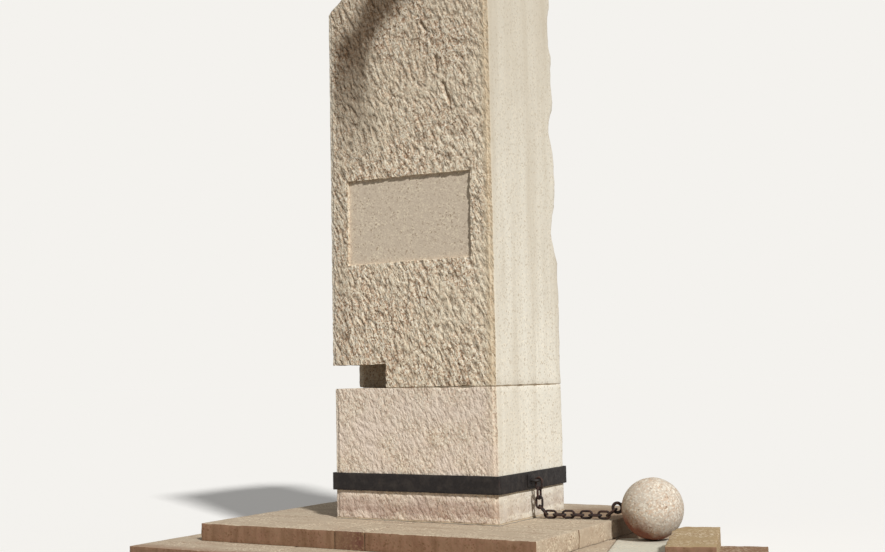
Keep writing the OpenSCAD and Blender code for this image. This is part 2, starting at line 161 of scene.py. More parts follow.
class SteleColours(bpy.types.PropertyGroup):
    granite: colour("Granite", "Ground colour of the blocks", "#EFE1C6")
    feldspar: colour("Feldspar", "Pink grains of the blocks", "#D0B296")
    quartz: colour("Quartz", "Light grains of the blocks", "#F8EFDC")
    mica: colour("Mica", "Dark grains of the blocks", "#8A6E55")
    # Laid as dirt, and also as painted shade in the hollows of the pointed fronts, the split rear and the
    # notch, and as painted shadow behind the chain and the ball
    hollow: colour("Hollow", "Dirt in the hollows of the fronts", "#6E5138")
    # Colour of a darker patch below the low shoulder
    shoulder_dark: colour("Stain", "Stain below the low shoulder", "#4F3820")
    margin: colour("Margin", "Weathered right margin", "#C4AC88")
    side_grain: colour("Side grain", "Darker grains and water runs of the sides", "#C9BCA6")
    panel_grain: colour("Panel grain", "Darker grains of the panel", "#A08A72")
    lower: colour("Lower front", "Washed front of the lower block", "#F1E0CF")
    panel: colour("Panel", "Ground colour of the panel", "#D3C3AE")
    side: colour("Side", "Ground colour of the smooth sides", "#E9E3D4")
    step: colour("Step", "Tops of the steps", "#B9A891")
    step_face: colour("Step face", "Outer faces of the steps", "#8F6D57")
    dark_face: colour("Dark face", "Outer face of the narrow slab", "#6B463A")
    # Also laid on the ball's lower side and on its side towards the step, away from the light, as dirt and
    # painted shade
    foot: colour("Foot", "Reddish dirt at the foot of the shaft and the ball", "#733F2D")
    wing_slab: colour("Wing slab", "Slab of the wing", "#83654A")
    bed: colour("Bed", "Slab under the ball", "#CECABA")
    wing: colour("Wing", "Block of the wing", "#A8906B")
    ball: colour("Ball", "Ground colour of the ball", "#C3B9AA")
    mortar: colour("Mortar", "Mortar beds", "#C7B59A")
    concrete: colour("Concrete", "Footing", "#A39B8E")
    band: colour("Band", "Black iron of the band", "#1F1A19")
    band_worn: colour("Worn band", "Worn places of the band", "#38322E")
    rust: colour("Rust", "Rust on the chain", "#432B22")
    chain: colour("Chain", "Dark iron of the chain", "#231C1B")


class SteleStage(bpy.types.PropertyGroup):
    camera_place: FloatVectorProperty(name="Camera", description="Place of the camera", unit="LENGTH",
                                      default=(5.833, -9.917, 1.550))
    heading: angle("Heading", "Camera's turn to the left of +Y", 30.667)
    pitch: angle("Pitch", "Camera's tilt upwards", 4.681)
    roll: angle("Roll", "Camera's roll", 1.146)
    lens: number("Lens", "Focal length in millimetres on a sensor 36 mm wide", 50.61)
    sun_turn: angle("Sun turn", "Direction of the key light, from +X towards +Y", -34.3)
    sun_height: angle("Sun height", "Height of the key light above the horizon", 37)
    sun_strength: number("Sun strength", "Strength of the key light", 3.5)
    sun_softness: angle("Sun softness", "Apparent size of the key light", 5)
    sky_strength: number("Sky strength", "Strength of the even light", 0.24)
    backdrop: colour("Backdrop", "What shows behind the object", "#F4F2EE")
    floor: colour("Floor", "Plain floor as it is seen", "#F2F0EC")
    floor_bounce: colour("Floor bounce", "Floor in the light that it throws back", "#8F8B84")
    floor_glow: number("Floor glow", "Light of the seen floor", 0.109)
    floor_radius: length("Floor radius", "Radius of the floor", 300000)


def chosen(group):
    """The sizes or colours of one group: stone, iron, colours or stage."""
    return getattr(bpy.context.scene, "stele_" + group)


def add(tree, kind, links=None, out=0, stops=(), **details):
    """Add a shader node and give one of its outputs; links gives each input a value or an output."""
    made = tree.nodes.new("ShaderNode" + kind)
    for name, value in details.items():
        setattr(made, name, value)
    for socket, value in (links or {}).items():
        if isinstance(value, bpy.types.NodeSocket):
            tree.links.new(value, made.inputs[socket])
        else:
            made.inputs[socket].default_value = value
    for place, (share, tone) in enumerate(stops):
        ramp = made.color_ramp.elements
        stop = ramp[place] if place < 2 else ramp.new(share)
        stop.position, stop.color = share, tone
    return made.outputs[out] if made.outputs else None


# Sockets of the mix node when it mixes colours
MIX_AMOUNT, MIX_BELOW, MIX_ABOVE, MIXED = 0, 6, 7, 2


def grey(level):
    """A level from 0 to 1 as a colour."""
    return level, level, level, 1.0


def laid_on(tree, below, above, level, low=0.0, high=1.0, most=1.0):
    """One colour over another, from none where a level is low to a share of most where it is high."""
    share = add(tree, "MapRange", {"Value": level, "From Min": low, "From Max": high, "To Max": most})
    return add(tree, "Mix", {MIX_AMOUNT: share, MIX_BELOW: below, MIX_ABOVE: above}, MIXED,
               data_type="RGBA")


def ragged(tree, place, size_mm, detail, depth, level):
    """A level in metres, moved by noise of a size and a depth, so that its line is ragged."""
    waver = add(tree, "TexNoise", {"Vector": place, "Scale": 1 / (size_mm * MM), "Detail": detail})
    return add(tree, "Math", {0: waver, 1: depth, 2: level}, operation="MULTIPLY_ADD")


# Grit between the crystals, drawn at 7 mm, coarser than it is, so that it shows from 12 m
GRIT_MM = 7
# Crystals of the granite, drawn at 13 mm for the same reason
GRAIN_MM = 13


def grains(tree, place, tones):
    """The crystals of a granite: each cell has one of four tones."""
    cells = add(tree, "TexVoronoi", {"Vector": place, "Scale": 1 / (GRAIN_MM * MM)}, "Color")
    pick = add(tree, "SeparateColor", {"Color": cells})
    return add(tree, "ValToRGB", {"Fac": pick},
               stops=((0.0, tones[0]), (1.0, tones[3]), (0.16, tones[1]), (0.6, tones[2])))


def block_tones(colours):
    """The granite of the shaft, from its dark mica to its light quartz."""
    return colours.mica, colours.feldspar, colours.granite, colours.quartz


def clouded(tree, place, below, above, size_mm, low, high, detail=4.0):
    """Patches of one colour over another, with soft edges between the noise levels low and high."""
    cloud = add(tree, "TexNoise", {"Vector": place, "Scale": 1 / (size_mm * MM), "Detail": detail})
    return laid_on(tree, below, above, cloud, low, high)


def hollow_dirt_and_shade(tree, below, dirt, amount):
    """Dirt and painted shade where the mesh says that the surface is hollow."""
    hollow = add(tree, "Attribute", out="Fac", attribute_name="hollow")
    return laid_on(tree, below, dirt, hollow, 0.15, 0.85, amount)


def point_marks(tree, place, width_mm, height_mm, lean):
    """Fine strokes of the point, too fine for the mesh: 1 in a stroke and 0 beside it."""
    along = add(tree, "Mapping", {"Vector": place, "Rotation": (0.0, -math.atan(lean), 0.0),
                                  "Scale": (width_mm * MM, width_mm * MM, height_mm * MM)},
                vector_type="TEXTURE")
    cloud = add(tree, "TexNoise", {"Vector": along, "Scale": 1.0, "Detail": 3.0, "Roughness": 0.5,
                                   "Distortion": 0.15})
    return add(tree, "MapRange", {"Value": cloud, "From Min": 0.45, "From Max": 0.68})


def stone_shader(tree, place, base, tool_mm, tool_depth_mm, grit_depth_mm, roughness, marks=None,
                 marks_depth_mm=0.0):
    """Close a stone material: dull, with the tool's texture and the grit of the stone as bump."""
    tool = add(tree, "TexNoise", {"Vector": place, "Scale": 1 / (tool_mm * MM), "Detail": 3.0})
    grit = add(tree, "TexNoise", {"Vector": place, "Scale": 1 / (GRIT_MM * MM), "Detail": 2.0})
    coarse = add(tree, "Bump", {"Height": tool, "Distance": tool_depth_mm * MM})
    if marks:
        coarse = add(tree, "Bump", {"Height": marks, "Distance": marks_depth_mm * MM, "Normal": coarse},
                     invert=True)
    fine = add(tree, "Bump", {"Height": grit, "Distance": grit_depth_mm * MM, "Normal": coarse})
    shader = add(tree, "BsdfPrincipled", {"Base Color": base, "Roughness": roughness, "Normal": fine,
                                          "IOR": 1.5, "Specular IOR Level": 0.25})
    add(tree, "OutputMaterial", {"Surface": shader})


def pointed_lower(tree, place, colours):
    """The lower block's front: the same granite, worked finer and washed paler, with dirt at its foot."""
    base = grains(tree, place, block_tones(colours))
    base = clouded(tree, place, base, colours.lower, 300, 0.2, 0.7)
    # Dirt and painted shade in the hollows of the strokes
    base = hollow_dirt_and_shade(tree, base, colours.hollow, 0.2)
    marks = point_marks(tree, place, 18, 34, 0.3)
    # Painted shade, with dirt, in strokes too fine for the mesh
    base = laid_on(tree, base, colours.hollow, marks, most=0.12)
    base = foot_dirt(tree, place, base, colours.foot, 0.5)
    base = edge_strips(tree, place, base, colours, 0.2)
    stone_shader(tree, place, base, 18, 2, 1.5, 0.9, marks, 4)


def pointed_granite(tree, place, colours):
    """Granite worked with a mason's point: deep short strokes, dirt and painted shade in the hollows, light
    ridges.
    """
    base = grains(tree, place, block_tones(colours))
    base = clouded(tree, place, base, colours.granite, 420, 0.45, 0.85)
    # Weather darkens the front more and more towards the crest, above a ragged line
    foot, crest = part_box("upper_block")[0].z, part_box("upper_block")[1].z
    across, up = (add(tree, "SeparateXYZ", {"Vector": place}, axis) for axis in "XZ")
    height = ragged(tree, place, 333.3, 6.0, 1.6, up)
    base = laid_on(tree, base, colours.hollow, height, foot + 2.5, crest, 0.24)
    # Dirt and painted shade in the hollows of the strokes and the gouges
    base = hollow_dirt_and_shade(tree, base, colours.hollow, 0.36)
    marks = point_marks(tree, place, 24, 62, 0.4)
    # Painted shade, with dirt, in strokes too fine for the mesh
    base = laid_on(tree, base, colours.hollow, marks, most=0.22)
    # Rain keeps the front cleaner beside its right margin
    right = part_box("lower_block")[1].x
    base = laid_on(tree, base, colours.granite, across, right - 0.26, right - 0.12, 0.25)
    base = shoulder_darkening(tree, place, base, colours.shoulder_dark)
    base = edge_strips(tree, place, base, colours, 0.5)
    stone_shader(tree, place, base, 22, 3, 1.5, 0.9, marks, 6)


def foot_dirt(tree, place, below, dirt, amount):
    """Reddish dirt that rain splashes up the foot of the shaft, in a ragged band."""
    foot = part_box("lower_block")[0].z
    drawn = add(tree, "Mapping", {"Vector": place, "Scale": (1.2, 1.2, 5.0)})
    up = add(tree, "SeparateXYZ", {"Vector": place}, "Z")
    line = ragged(tree, drawn, 250, 6.0, -0.3, up)
    height = add(tree, "MapRange", {"Value": line, "From Min": foot - 0.15, "From Max": foot + 0.1})
    band = add(tree, "ValToRGB", {"Fac": height},
               stops=((0.05, grey(0.15)), (0.95, grey(0.0)), (0.3, grey(1.0)), (0.5, grey(0.8))))
    return laid_on(tree, below, dirt, band, most=amount)


# Height of the low shoulder above the joint of the two blocks
SHOULDER_MM = 3483


def shoulder_darkening(tree, place, below, shoulder_dark):
    """A darker patch: from the slanting top down to the left edge, and faintly on down beside it."""
    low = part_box("upper_block")[0]
    shoulder = (low.x, low.y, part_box("bed_mortar")[1].z + SHOULDER_MM * MM)
    shifted = add(tree, "Mapping", {"Vector": place, "Location": [-v for v in shoulder]})
    across, up = (add(tree, "SeparateXYZ", {"Vector": shifted}, axis) for axis in "XZ")
    streaks = add(tree, "Mapping", {"Vector": place, "Scale": (1.0, 1.0, 0.45)})
    # The patch's middle leans over to the right above the bend
    above = add(tree, "Math", {0: up, 1: 0.36}, operation="ADD")
    lean = add(tree, "Math", {0: above, 1: 0.0}, operation="MAXIMUM")
    beside = add(tree, "Math", {0: lean, 1: -1.0, 2: across}, operation="MULTIPLY_ADD")
    off = add(tree, "Math", {0: beside, 1: 0.25}, operation="SUBTRACT")
    away = add(tree, "Math", {0: off}, operation="ABSOLUTE")
    edge = ragged(tree, streaks, 142.9, 6.0, 0.45, away)
    share = add(tree, "MapRange", {"Value": edge, "From Min": 0.58, "From Max": 0.34})
    fade = add(tree, "MapRange", {"Value": up, "From Min": -1.6, "From Max": -0.42, "To Max": 0.84})
    plume = add(tree, "Math", {0: share, 1: fade}, operation="MULTIPLY")
    run = add(tree, "MapRange", {"Value": across, "From Min": 0.3, "From Max": 0.12, "To Max": 0.2})
    both = add(tree, "Math", {0: plume, 1: run}, operation="MAXIMUM")
    # The left margin stays clearer
    clear = add(tree, "MapRange", {"Value": across, "From Min": 0.045, "From Max": 0.08, "To Min": 0.25,
                                   "To Max": 1.0})
    return laid_on(tree, below, shoulder_dark, both, most=clear)


def edge_strips(tree, place, below, colours, tan_amount):
    """Weathered strips along the arrises of the front: tan at the right, pale at the left."""
    left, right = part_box("upper_block")[0].x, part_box("lower_block")[1].x
    across = ragged(tree, place, 166.7, 4.0, 0.06, add(tree, "SeparateXYZ", {"Vector": place}, "X"))
    below = laid_on(tree, below, colours.margin, across, right - 0.07, right - 0.02, tan_amount)
    return laid_on(tree, below, colours.side, across, left + 0.09, left + 0.06, 0.35)


def axed_granite(tree, place, colours):
    """Fine-axed granite of the sides: pale and even, with faint runs of water down it."""
    base = grains(tree, place, (colours.side_grain, colours.side, colours.side, colours.quartz))
    runs = add(tree, "Mapping", {"Vector": place, "Scale": (6.0, 6.0, 0.5)})
    base = clouded(tree, runs, base, colours.side_grain, 1000, 0.4, 1.0, 3.0)
    # Darker towards the crest and towards the front corner
    crest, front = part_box("upper_block")[1].z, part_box("lower_block")[0].y
    back, up = (add(tree, "SeparateXYZ", {"Vector": place}, axis) for axis in "YZ")
    height = add(tree, "MapRange", {"Value": up, "From Min": crest * 0.3, "From Max": crest,
                                    "To Max": 0.75})
    corner = add(tree, "MapRange", {"Value": back, "From Min": front + 0.16, "From Max": front + 0.02,
                                    "To Max": 0.35})
    both = add(tree, "Math", {0: height, 1: corner}, operation="ADD")
    base = laid_on(tree, base, colours.side_grain, both)
    base = foot_dirt(tree, place, base, colours.foot, 0.35)
    stone_shader(tree, place, base, 30, 1.5, 0.8, 0.85)


def split_granite(tree, place, colours):
    """Split granite of the rear and the top: coarse breaks, with dark clouds of painted shade, and dirt and
    painted shade in the hollows.
    """
    base = grains(tree, place, block_tones(colours))
    # Dark clouds at the size of the tool's bump: painted shade, so that the breaks show where no light falls
    base = clouded(tree, place, base, colours.hollow, 60, 0.42, 1.0, 6.0)
    # Dirt and painted shade in the hollows of the breaks
    base = hollow_dirt_and_shade(tree, base, colours.hollow, 0.25)
    stone_shader(tree, place, base, 60, 9, 2, 0.9)


def panel_granite(tree, place, colours):
    """Bush-hammered floor of the panel: flat, even and a little darker than the sides."""
    base = grains(tree, place, (colours.panel_grain, colours.panel, colours.panel, colours.granite))
    base = clouded(tree, place, base, colours.panel, 160, 0.3, 0.8)
    stone_shader(tree, place, base, 12, 2, 1, 0.85)


def chain_rust_and_shadow(tree, place, below, dirt):
    """Rust and dirt, with painted shadow of the chain and the ball, on the step behind the chain and on the
    step's end behind the ball.
    """
    first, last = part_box(LINKS[4])[0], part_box(LINKS[-1])[0]
    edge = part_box("upper_right_slab")[1].x
    slope = (last.y - first.y) / (last.x - first.x)
    start = first.y - slope * first.x + 0.15
    across, back = (add(tree, "SeparateXYZ", {"Vector": place}, axis) for axis in "XY")
    behind = add(tree, "Math", {0: across, 1: -slope, 2: back}, operation="MULTIPLY_ADD")
    line = ragged(tree, place, 200, 6.0, 0.3, behind)
    # It starts behind the lying links and ends 1.3 m further back
    band = add(tree, "MapRange", {"Value": line, "From Min": start, "From Max": start + 1.3})
    ramp = add(tree, "ValToRGB", {"Fac": band},
               stops=((0.02, grey(0.0)), (0.98, grey(0.0)), (0.12, grey(1.0)), (0.6, grey(0.9))))
    # It lies within 0.87 m of the step's end, and not on what stands beyond
    inside = add(tree, "MapRange", {"Value": across, "From Min": edge - 0.87, "From Max": edge - 0.55})
    before = add(tree, "Math", {0: across, 1: edge + 0.02}, operation="LESS_THAN")
    share = add(tree, "Math", {0: inside, 1: before}, operation="MULTIPLY")
    both = add(tree, "Math", {0: share, 1: ramp}, operation="MULTIPLY")
    # The hollow colour laid here is rust and dirt, and painted shadow of the chain and the ball
    return laid_on(tree, below, dirt, both, most=0.75)


def slab_granite(tree, place, colours, top_name, face_name, tool_depth_mm):
    """Weathered granite slab: its top walked and washed pale, its outer faces riven and brown with dirt."""
    top, face = getattr(colours, top_name), getattr(colours, face_name)
    base = grains(tree, place, (face, top, top, colours.granite))
    base = clouded(tree, place, base, top, 240, 0.3, 0.7)
    streaks = add(tree, "Mapping", {"Vector": place, "Scale": (0.5, 3.0, 3.0)})
    base = clouded(tree, streaks, base, face, 300, 0.5, 1.15, 6.0)
    # The tops are soiled along the front edge of the platform
    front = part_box("lower_front_left")[0].y
    line = ragged(tree, place, 200, 6.0, -0.2, add(tree, "SeparateXYZ", {"Vector": place}, "Y"))
    base = laid_on(tree, base, face, line, front + 0.1, front - 0.05, 0.6)
    # Rust, dirt and painted shadow behind the chain and the ball
    base = chain_rust_and_shadow(tree, place, base, colours.hollow)
    brown = grains(tree, place, (colours.hollow, face, face, colours.mica))
    brown = clouded(tree, place, brown, colours.mica, 170, 0.4, 0.9, 6.0)
    drips = add(tree, "Mapping", {"Vector": place, "Scale": (3.0, 3.0, 0.7)})
    brown = clouded(tree, drips, brown, colours.hollow, 160, 0.42, 0.9, 6.0)
    # Brown where a face looks to the front, to the rear or to the left
    normal = add(tree, "TexCoord", out="Normal")
    right, rear = (add(tree, "SeparateXYZ", {"Vector": normal}, axis) for axis in "XY")
    along = add(tree, "Math", {0: rear}, operation="ABSOLUTE")
    left = add(tree, "Math", {0: right, 1: -1.0}, operation="MULTIPLY")
    side = add(tree, "Math", {0: along, 1: left}, operation="MAXIMUM")
    mixed = laid_on(tree, base, brown, side, 0.4, 0.75)
    mixed = hollow_dirt_and_shade(tree, mixed, colours.hollow, 0.9)
    stone_shader(tree, place, mixed, 45, tool_depth_mm, 1.5, 0.9)


def pecked_granite(tree, place, colours):
    """Fine-pecked granite of the ball, with reddish dirt and painted shade towards the ground, most on the
    side of the step, which is away from the light.
    """
    base = grains(tree, place, (colours.mica, colours.feldspar, colours.ball, colours.quartz))
    base = clouded(tree, place, base, colours.ball, 200, 0.3, 0.8)
    low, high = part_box("ball")
    shifted = add(tree, "VectorMath", {0: place, 1: (low + high) / 2}, operation="SUBTRACT")
    height = add(tree, "VectorMath", {0: shifted, 1: (0.5, 0.0, 1.0)}, "Value", operation="DOT_PRODUCT")
    line = ragged(tree, place, 111.1, 5.0, -0.15, height)
    # Reddish dirt and painted shade on the lower side and on the side towards the step, away from the light
    base = laid_on(tree, base, colours.foot, line, -0.12, -0.27, 0.95)
    stone_shader(tree, place, base, 16, 2.5, 1.5, 0.85)


def weathered_mortar(tree, place, colours):
    """Lime and cement mortar, struck flat and weathered."""
    base = clouded(tree, place, colours.mortar, colours.hollow, 60, 0.55, 1.1)
    stone_shader(tree, place, base, 15, 2, 1, 0.95)


def cast_concrete(tree, place, colours):
    """Concrete cast in the ground, grey and dull."""
    base = clouded(tree, place, colours.concrete, colours.hollow, 300, 0.5, 1.2)
    stone_shader(tree, place, base, 25, 2, 1, 0.95)


def iron_shader(tree, place, base, scale_mm, scale_depth_mm, roughness_low, roughness_high):
    """Close an iron material: forge scale as bump, and gloss that varies with it."""
    scale = add(tree, "TexNoise", {"Vector": place, "Scale": 1 / (scale_mm * MM), "Detail": 5.0})
    dull = add(tree, "MapRange", {"Value": scale, "From Min": 0.3, "From Max": 0.7,
                                  "To Min": roughness_low, "To Max": roughness_high})
    bump = add(tree, "Bump", {"Height": scale, "Distance": scale_depth_mm * MM})
    shader = add(tree, "BsdfPrincipled", {"Base Color": base, "Roughness": dull, "Metallic": 0.35,
                                          "Normal": bump})
    add(tree, "OutputMaterial", {"Surface": shader})


def black_iron(tree, place, colours):
    """Forged iron strap under old black paint: hammered, dull, worn grey on its high places."""
    base = clouded(tree, place, colours.band, colours.band_worn, 70, 0.45, 0.75, 5.0)
    base = clouded(tree, place, base, colours.rust, 120, 0.68, 0.95, 5.0)
    iron_shader(tree, place, base, 18, 1.2, 0.55, 0.8)


def rusted_iron(tree, place, colours):
    """Forged iron chain, dark with rust that comes through in patches."""
    base = clouded(tree, place, colours.chain, colours.rust, 30, 0.42, 0.62, 5.0)
    iron_shader(tree, place, base, 6, 0.8, 0.6, 0.9)


def seen_rays(tree):
    """1 for what the camera sees, directly, in a gloss or through something clear."""
    seen, gloss, clear = (add(tree, "LightPath", out=f"Is {ray} Ray")
                          for ray in ("Camera", "Glossy", "Transmission"))
    either = add(tree, "Math", {0: seen, 1: gloss}, operation="MAXIMUM")
    return add(tree, "Math", {0: either, 1: clear}, operation="MAXIMUM")


def matt_studio_floor(tree, place, colours):
    """Matt studio floor: as pale as the backdrop where it is seen, duller in the light it throws back."""
    plan = chosen("stage")
    dull = add(tree, "BsdfDiffuse", {"Color": plan.floor_bounce})
    pale = add(tree, "BsdfDiffuse", {"Color": plan.floor})
    glow = add(tree, "Emission", {"Color": plan.floor, "Strength": plan.floor_glow})
    shown = add(tree, "AddShader", {0: pale, 1: glow})
    mixed = add(tree, "MixShader", {0: seen_rays(tree), 1: dull, 2: shown})
    add(tree, "OutputMaterial", {"Surface": mixed})


# The slabs' finishes: the colours of the top and of the outer faces, and the depth of the tool's marks
SLAB_FINISHES = {
    # Granite of the steps
    "riven_step_granite": ("step", "step_face", 4),
    # Darker granite of the narrow slab
    "riven_dark_granite": ("step", "dark_face", 4),
    # Newer, paler granite under the ball, sawn, so with shallower marks
    "sawn_pale_granite": ("bed", "step", 2),
    # Greenish, coarse granite of the wing's block
    "split_wing_granite": ("wing", "step_face", 4),
    # The wing's lower slab: the same stone, browner
    "split_wing_slab_granite": ("wing_slab", "step_face", 4),
}


def finish(name):
    """The material of a name, made once, by the function of that name or as a slab's."""
    made = bpy.data.materials.get(name)
    if made:
        return made
    made = bpy.data.materials.new(name)
    made.use_nodes = True
    tree = made.node_tree
    tree.nodes.clear()
    place = add(tree, "TexCoord", out="Object")
    if name in SLAB_FINISHES:
        slab_granite(tree, place, chosen("colours"), *SLAB_FINISHES[name])
    else:
        FINISHES[name](tree, place, chosen("colours"))
    return made


FINISHES = {maker.__name__: maker for maker in (
    pointed_granite, pointed_lower, axed_granite, split_granite, panel_granite, pecked_granite,
    weathered_mortar, cast_concrete, black_iron, rusted_iron, matt_studio_floor)}


def smooth_step(value, low, high):
    """0 below low, 1 above high, and a soft rise between them."""
    share = min(1.0, max(0.0, (value - low) / (high - low)))
    return share * share * (3 - 2 * share)


def box_mesh(low, high):
    """A plain box between two corners, to be worked on."""
    bm = bmesh.new()
    bmesh.ops.create_cube(bm, size=1)
    bmesh.ops.scale(bm, vec=high - low, verts=bm.verts)
    bmesh.ops.translate(bm, vec=(high + low) / 2, verts=bm.verts)
    return bm


def round_off(bm, edges, radius, segments=2):
    """Round edges off."""
    bmesh.ops.bevel(bm, geom=edges, affect="EDGES", offset=radius, segments=segments, profile=0.5,
                    material=-1)


def sharp_edges(bm):
    """The edges of a mesh that turn sharply."""
    return [edge for edge in bm.edges if edge.calc_face_angle(0) > SHARP]


def ladder(bm, pitches):
    """Cut long edges along each axis into steps of about its pitch; an infinite one leaves them whole."""
    for axis, pitch in enumerate(pitches):
        long_edges = []
        for edge in bm.edges:
            run = edge.verts[1].co - edge.verts[0].co
            if abs(run[axis]) > 0.9 * run.length and run.length > 1.5 * pitch:
                long_edges.append(edge)
        if long_edges:
            cuts = max(1, round(long_edges[0].calc_length() / pitch) - 1)
            bmesh.ops.subdivide_edges(bm, edges=long_edges, cuts=cuts, use_grid_fill=True)


def grid_block(low, high, arris, pitches):
    """A closed block with bevelled arrises, cut into a grid."""
    bm = box_mesh(low, high)
    round_off(bm, bm.edges, arris)
    ladder(bm, pitches)
    bmesh.ops.recalc_face_normals(bm, faces=bm.faces)
    return bm


def chip_edges(verts, low, high, reach, depth):
    """Pull places on the edges of a block inwards, where the stone is chipped."""
    middle = (low + high) / 2
    for vert in verts:
        gaps = [min(vert.co[a] - low[a], high[a] - vert.co[a]) for a in range(3)]
        near = sorted(range(3), key=gaps.__getitem__)[:2]
        if gaps[near[1]] > reach:
            continue
        # Long chips of about 140 mm, and short ones of about 40
        bite = noise.noise(vert.co * 7.0) * 0.7 + noise.noise(vert.co * 23.0) * 0.5
        amount = depth * smooth_step(bite, 0.05, 0.7) + depth * 0.15
        for axis in near:
            inward = 1 if vert.co[axis] < middle[axis] else -1
            vert.co[axis] += inward * amount * (1 - gaps[axis] / reach)


def mesh_of(name, bm):
    """The mesh that a bmesh holds; the bmesh is freed."""
    mesh = bpy.data.meshes.new(name)
    bm.to_mesh(mesh)
    bm.free()
    return mesh


def shown(name, data):
    """A new object in the scene."""
    made = bpy.data.objects.new(name, data)
    bpy.context.scene.collection.objects.link(made)
    return made


def finished(name, bm, replaced, finishes, smooth_angle=40, hollow=None):
    """Turn a bmesh into a piece that rides with the part and stands for CAD nodes."""
    bmesh.ops.recalc_face_normals(bm, faces=bm.faces)
    mesh = mesh_of(name, bm)
    for each in finishes:
        mesh.materials.append(finish(each))
    if hollow:
        layer = mesh.attributes.new("hollow", "FLOAT", "POINT")
        layer.data.foreach_set("value", hollow)
    mesh.shade_smooth()
    mesh.set_sharp_from_angle(angle=math.radians(smooth_angle))
    piece = shown(name, mesh)
    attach(piece, "root")
    if replaced:
        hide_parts(*replaced)
    return piece


def press_in(verts, low, high, faces, place=Vector.copy):
    """Move the faces of a block inwards: each has an axis, a side, how deep it reaches, and its depth."""
    for vert in verts:
        at = place(vert.co)
        move = Vector()
        for axis, side, reach, depth in faces:
            gap = high[axis] - vert.co[axis] if side > 0 else vert.co[axis] - low[axis]
            if gap < reach:
                move[axis] -= side * depth(at) * (1 - gap / reach)
        vert.co += move


def rough(size, depth, seed=0.0, octaves=4):
    """A depth function: uneven stone, from 0 to the depth, with forms of about a size."""
    offset = Vector((seed, seed * 1.7, -seed))

    def depth_at(place):
        level = noise.fractal(place / size + offset, 0.9, 2.0, octaves)
        return depth * min(1.0, max(0.0, 0.5 + 0.55 * level))
    return depth_at


def stroke_level(place, stone):
    """How deep a place on a pointed face lies in the strokes of the point, from 0 to 1."""
    # The rows of strokes bend a little over about 140 mm, and more over about 450
    bend = noise.noise_vector(place * 7.0) * 0.5 + noise.noise_vector(place * 2.2) * 1.6
    across = (place.x + place.z * stone.stroke_lean) / stone.stroke_width + bend.x
    along = place.z / stone.stroke_height + bend.z
    broken = noise.fractal(Vector((across * 0.75, 0.0, along * 0.8)), 0.7, 2.1, 5)
    (near, *_), (centre, *_) = noise.voronoi(Vector((across * 0.6, 7.0, along * 0.6)))
    pit = (1 - smooth_step(near, 0.05, 0.5)) * max(0.0, 0.3 + noise.noise(centre * 3.7))
    return smooth_step(broken + pit * 0.9, -0.12, 0.62)


# Long gouges in the front of the upper block: their two ends, across from the shaft's middle and up
# from the ground, in metres
GOUGES = (((0.297, 4.378), (0.308, 4.268)), ((0.367, 4.144), (0.437, 3.947)),
          ((0.151, 4.718), (0.202, 4.637)))


def gouged(place):
    """Depth of the long gouges at a place on the front, from 0 to 1."""
    deepest = 0.0
    for ends in GOUGES:
        start, end = (Vector(point) for point in ends)
        run, at = end - start, Vector((place.x, place.z)) - start
        along = min(1.0, max(0.0, at.dot(run) / run.length_squared))
        off = (at - run * along).length + 0.01 * noise.noise(place * 40.0)
        # A gouge is deepest within 4 mm of its line, and runs out 24 mm from it
        deepest = max(deepest, 1 - smooth_step(off, 0.004, 0.024))
    return deepest


def field_share(place, stone, left, right):
    """1 in the pointed field of a front, 0 in the smooth margins beside it, whose line wavers a little."""
    edge = min(place.x - left, right - place.x) + 0.008 * noise.noise(place * 6.0)
    return smooth_step(edge, stone.margin - 0.006, stone.margin + 0.008)


def pointed(stone, depth, left, right, levels):
    """The strokes of a pointed front between its margins; it notes each place's level in levels."""
    wave = rough(0.38, 0.25 * depth, 4.0)
    grit = rough(0.03, 0.14 * depth, 9.0, 2)

    def depth_at(place):
        inside = field_share(place, stone, left, right)
        gouge = gouged(place)
        # The strokes grow shallower within 140 mm of the right arris
        calm = smooth_step(right - place.x, 0.02, 0.14)
        level = max(gouge, stroke_level(place, stone) * (0.4 + 0.6 * calm)) if inside > 0 else 0.0
        levels[tuple(place)] = level * inside
        return inside * (wave(place) + (level * 0.75 + gouge) * depth) + grit(place)
    return depth_at


def margins(stone, left, right):
    """The smooth margins of a front, set back from its field."""
    def depth_at(place):
        return (1 - field_share(place, stone, left, right)) * stone.field
    return depth_at


def mark_faces(bm):
    """Give the faces of a block of the shaft the finish of the side that they look to."""
    bm.normal_update()
    for face in bm.faces:
        for worked, (axis, side) in WORKED_SIDES:
            if face.normal[axis] * side > LOOKS:
                face.material_index = worked


def refine(bm, side, cuts):
    """Cut the grid of a block's front or rear finer, always in the same order."""
    bm.normal_update()
    edges = dict.fromkeys(edge for face in bm.faces if face.normal.y * side > LOOKS_STRAIGHT
                          for edge in face.edges)
    bmesh.ops.subdivide_edges(bm, edges=list(edges), cuts=cuts, use_grid_fill=True)


def cut_out(piece, cutters):
    """Cut other meshes out of a piece, and apply the cuts."""
    for each in cutters:
        cut = piece.modifiers.new("cut", "BOOLEAN")
        cut.operation, cut.solver, cut.object = "DIFFERENCE", "MANIFOLD", each
    layers = bpy.context.evaluated_depsgraph_get()
    mesh = bpy.data.meshes.new_from_object(piece.evaluated_get(layers))
    piece.modifiers.clear()
    before = piece.data
    piece.data = mesh
    bpy.data.meshes.remove(before)
    mesh.name = piece.name
    for each in cutters:
        shape = each.data
        bpy.data.objects.remove(each)
        bpy.data.meshes.remove(shape)


def cutter(name, low, high, pitch, faces=()):
    """A rough-sided block that is cut out of another."""
    bm = grid_block(low, high, 0.002, (pitch,) * 3)
    press_in(bm.verts, low, high, faces)
    return shown(name, mesh_of(name, bm))


# How far a cutter sticks out of what it cuts, in metres
CLEAR = 0.05


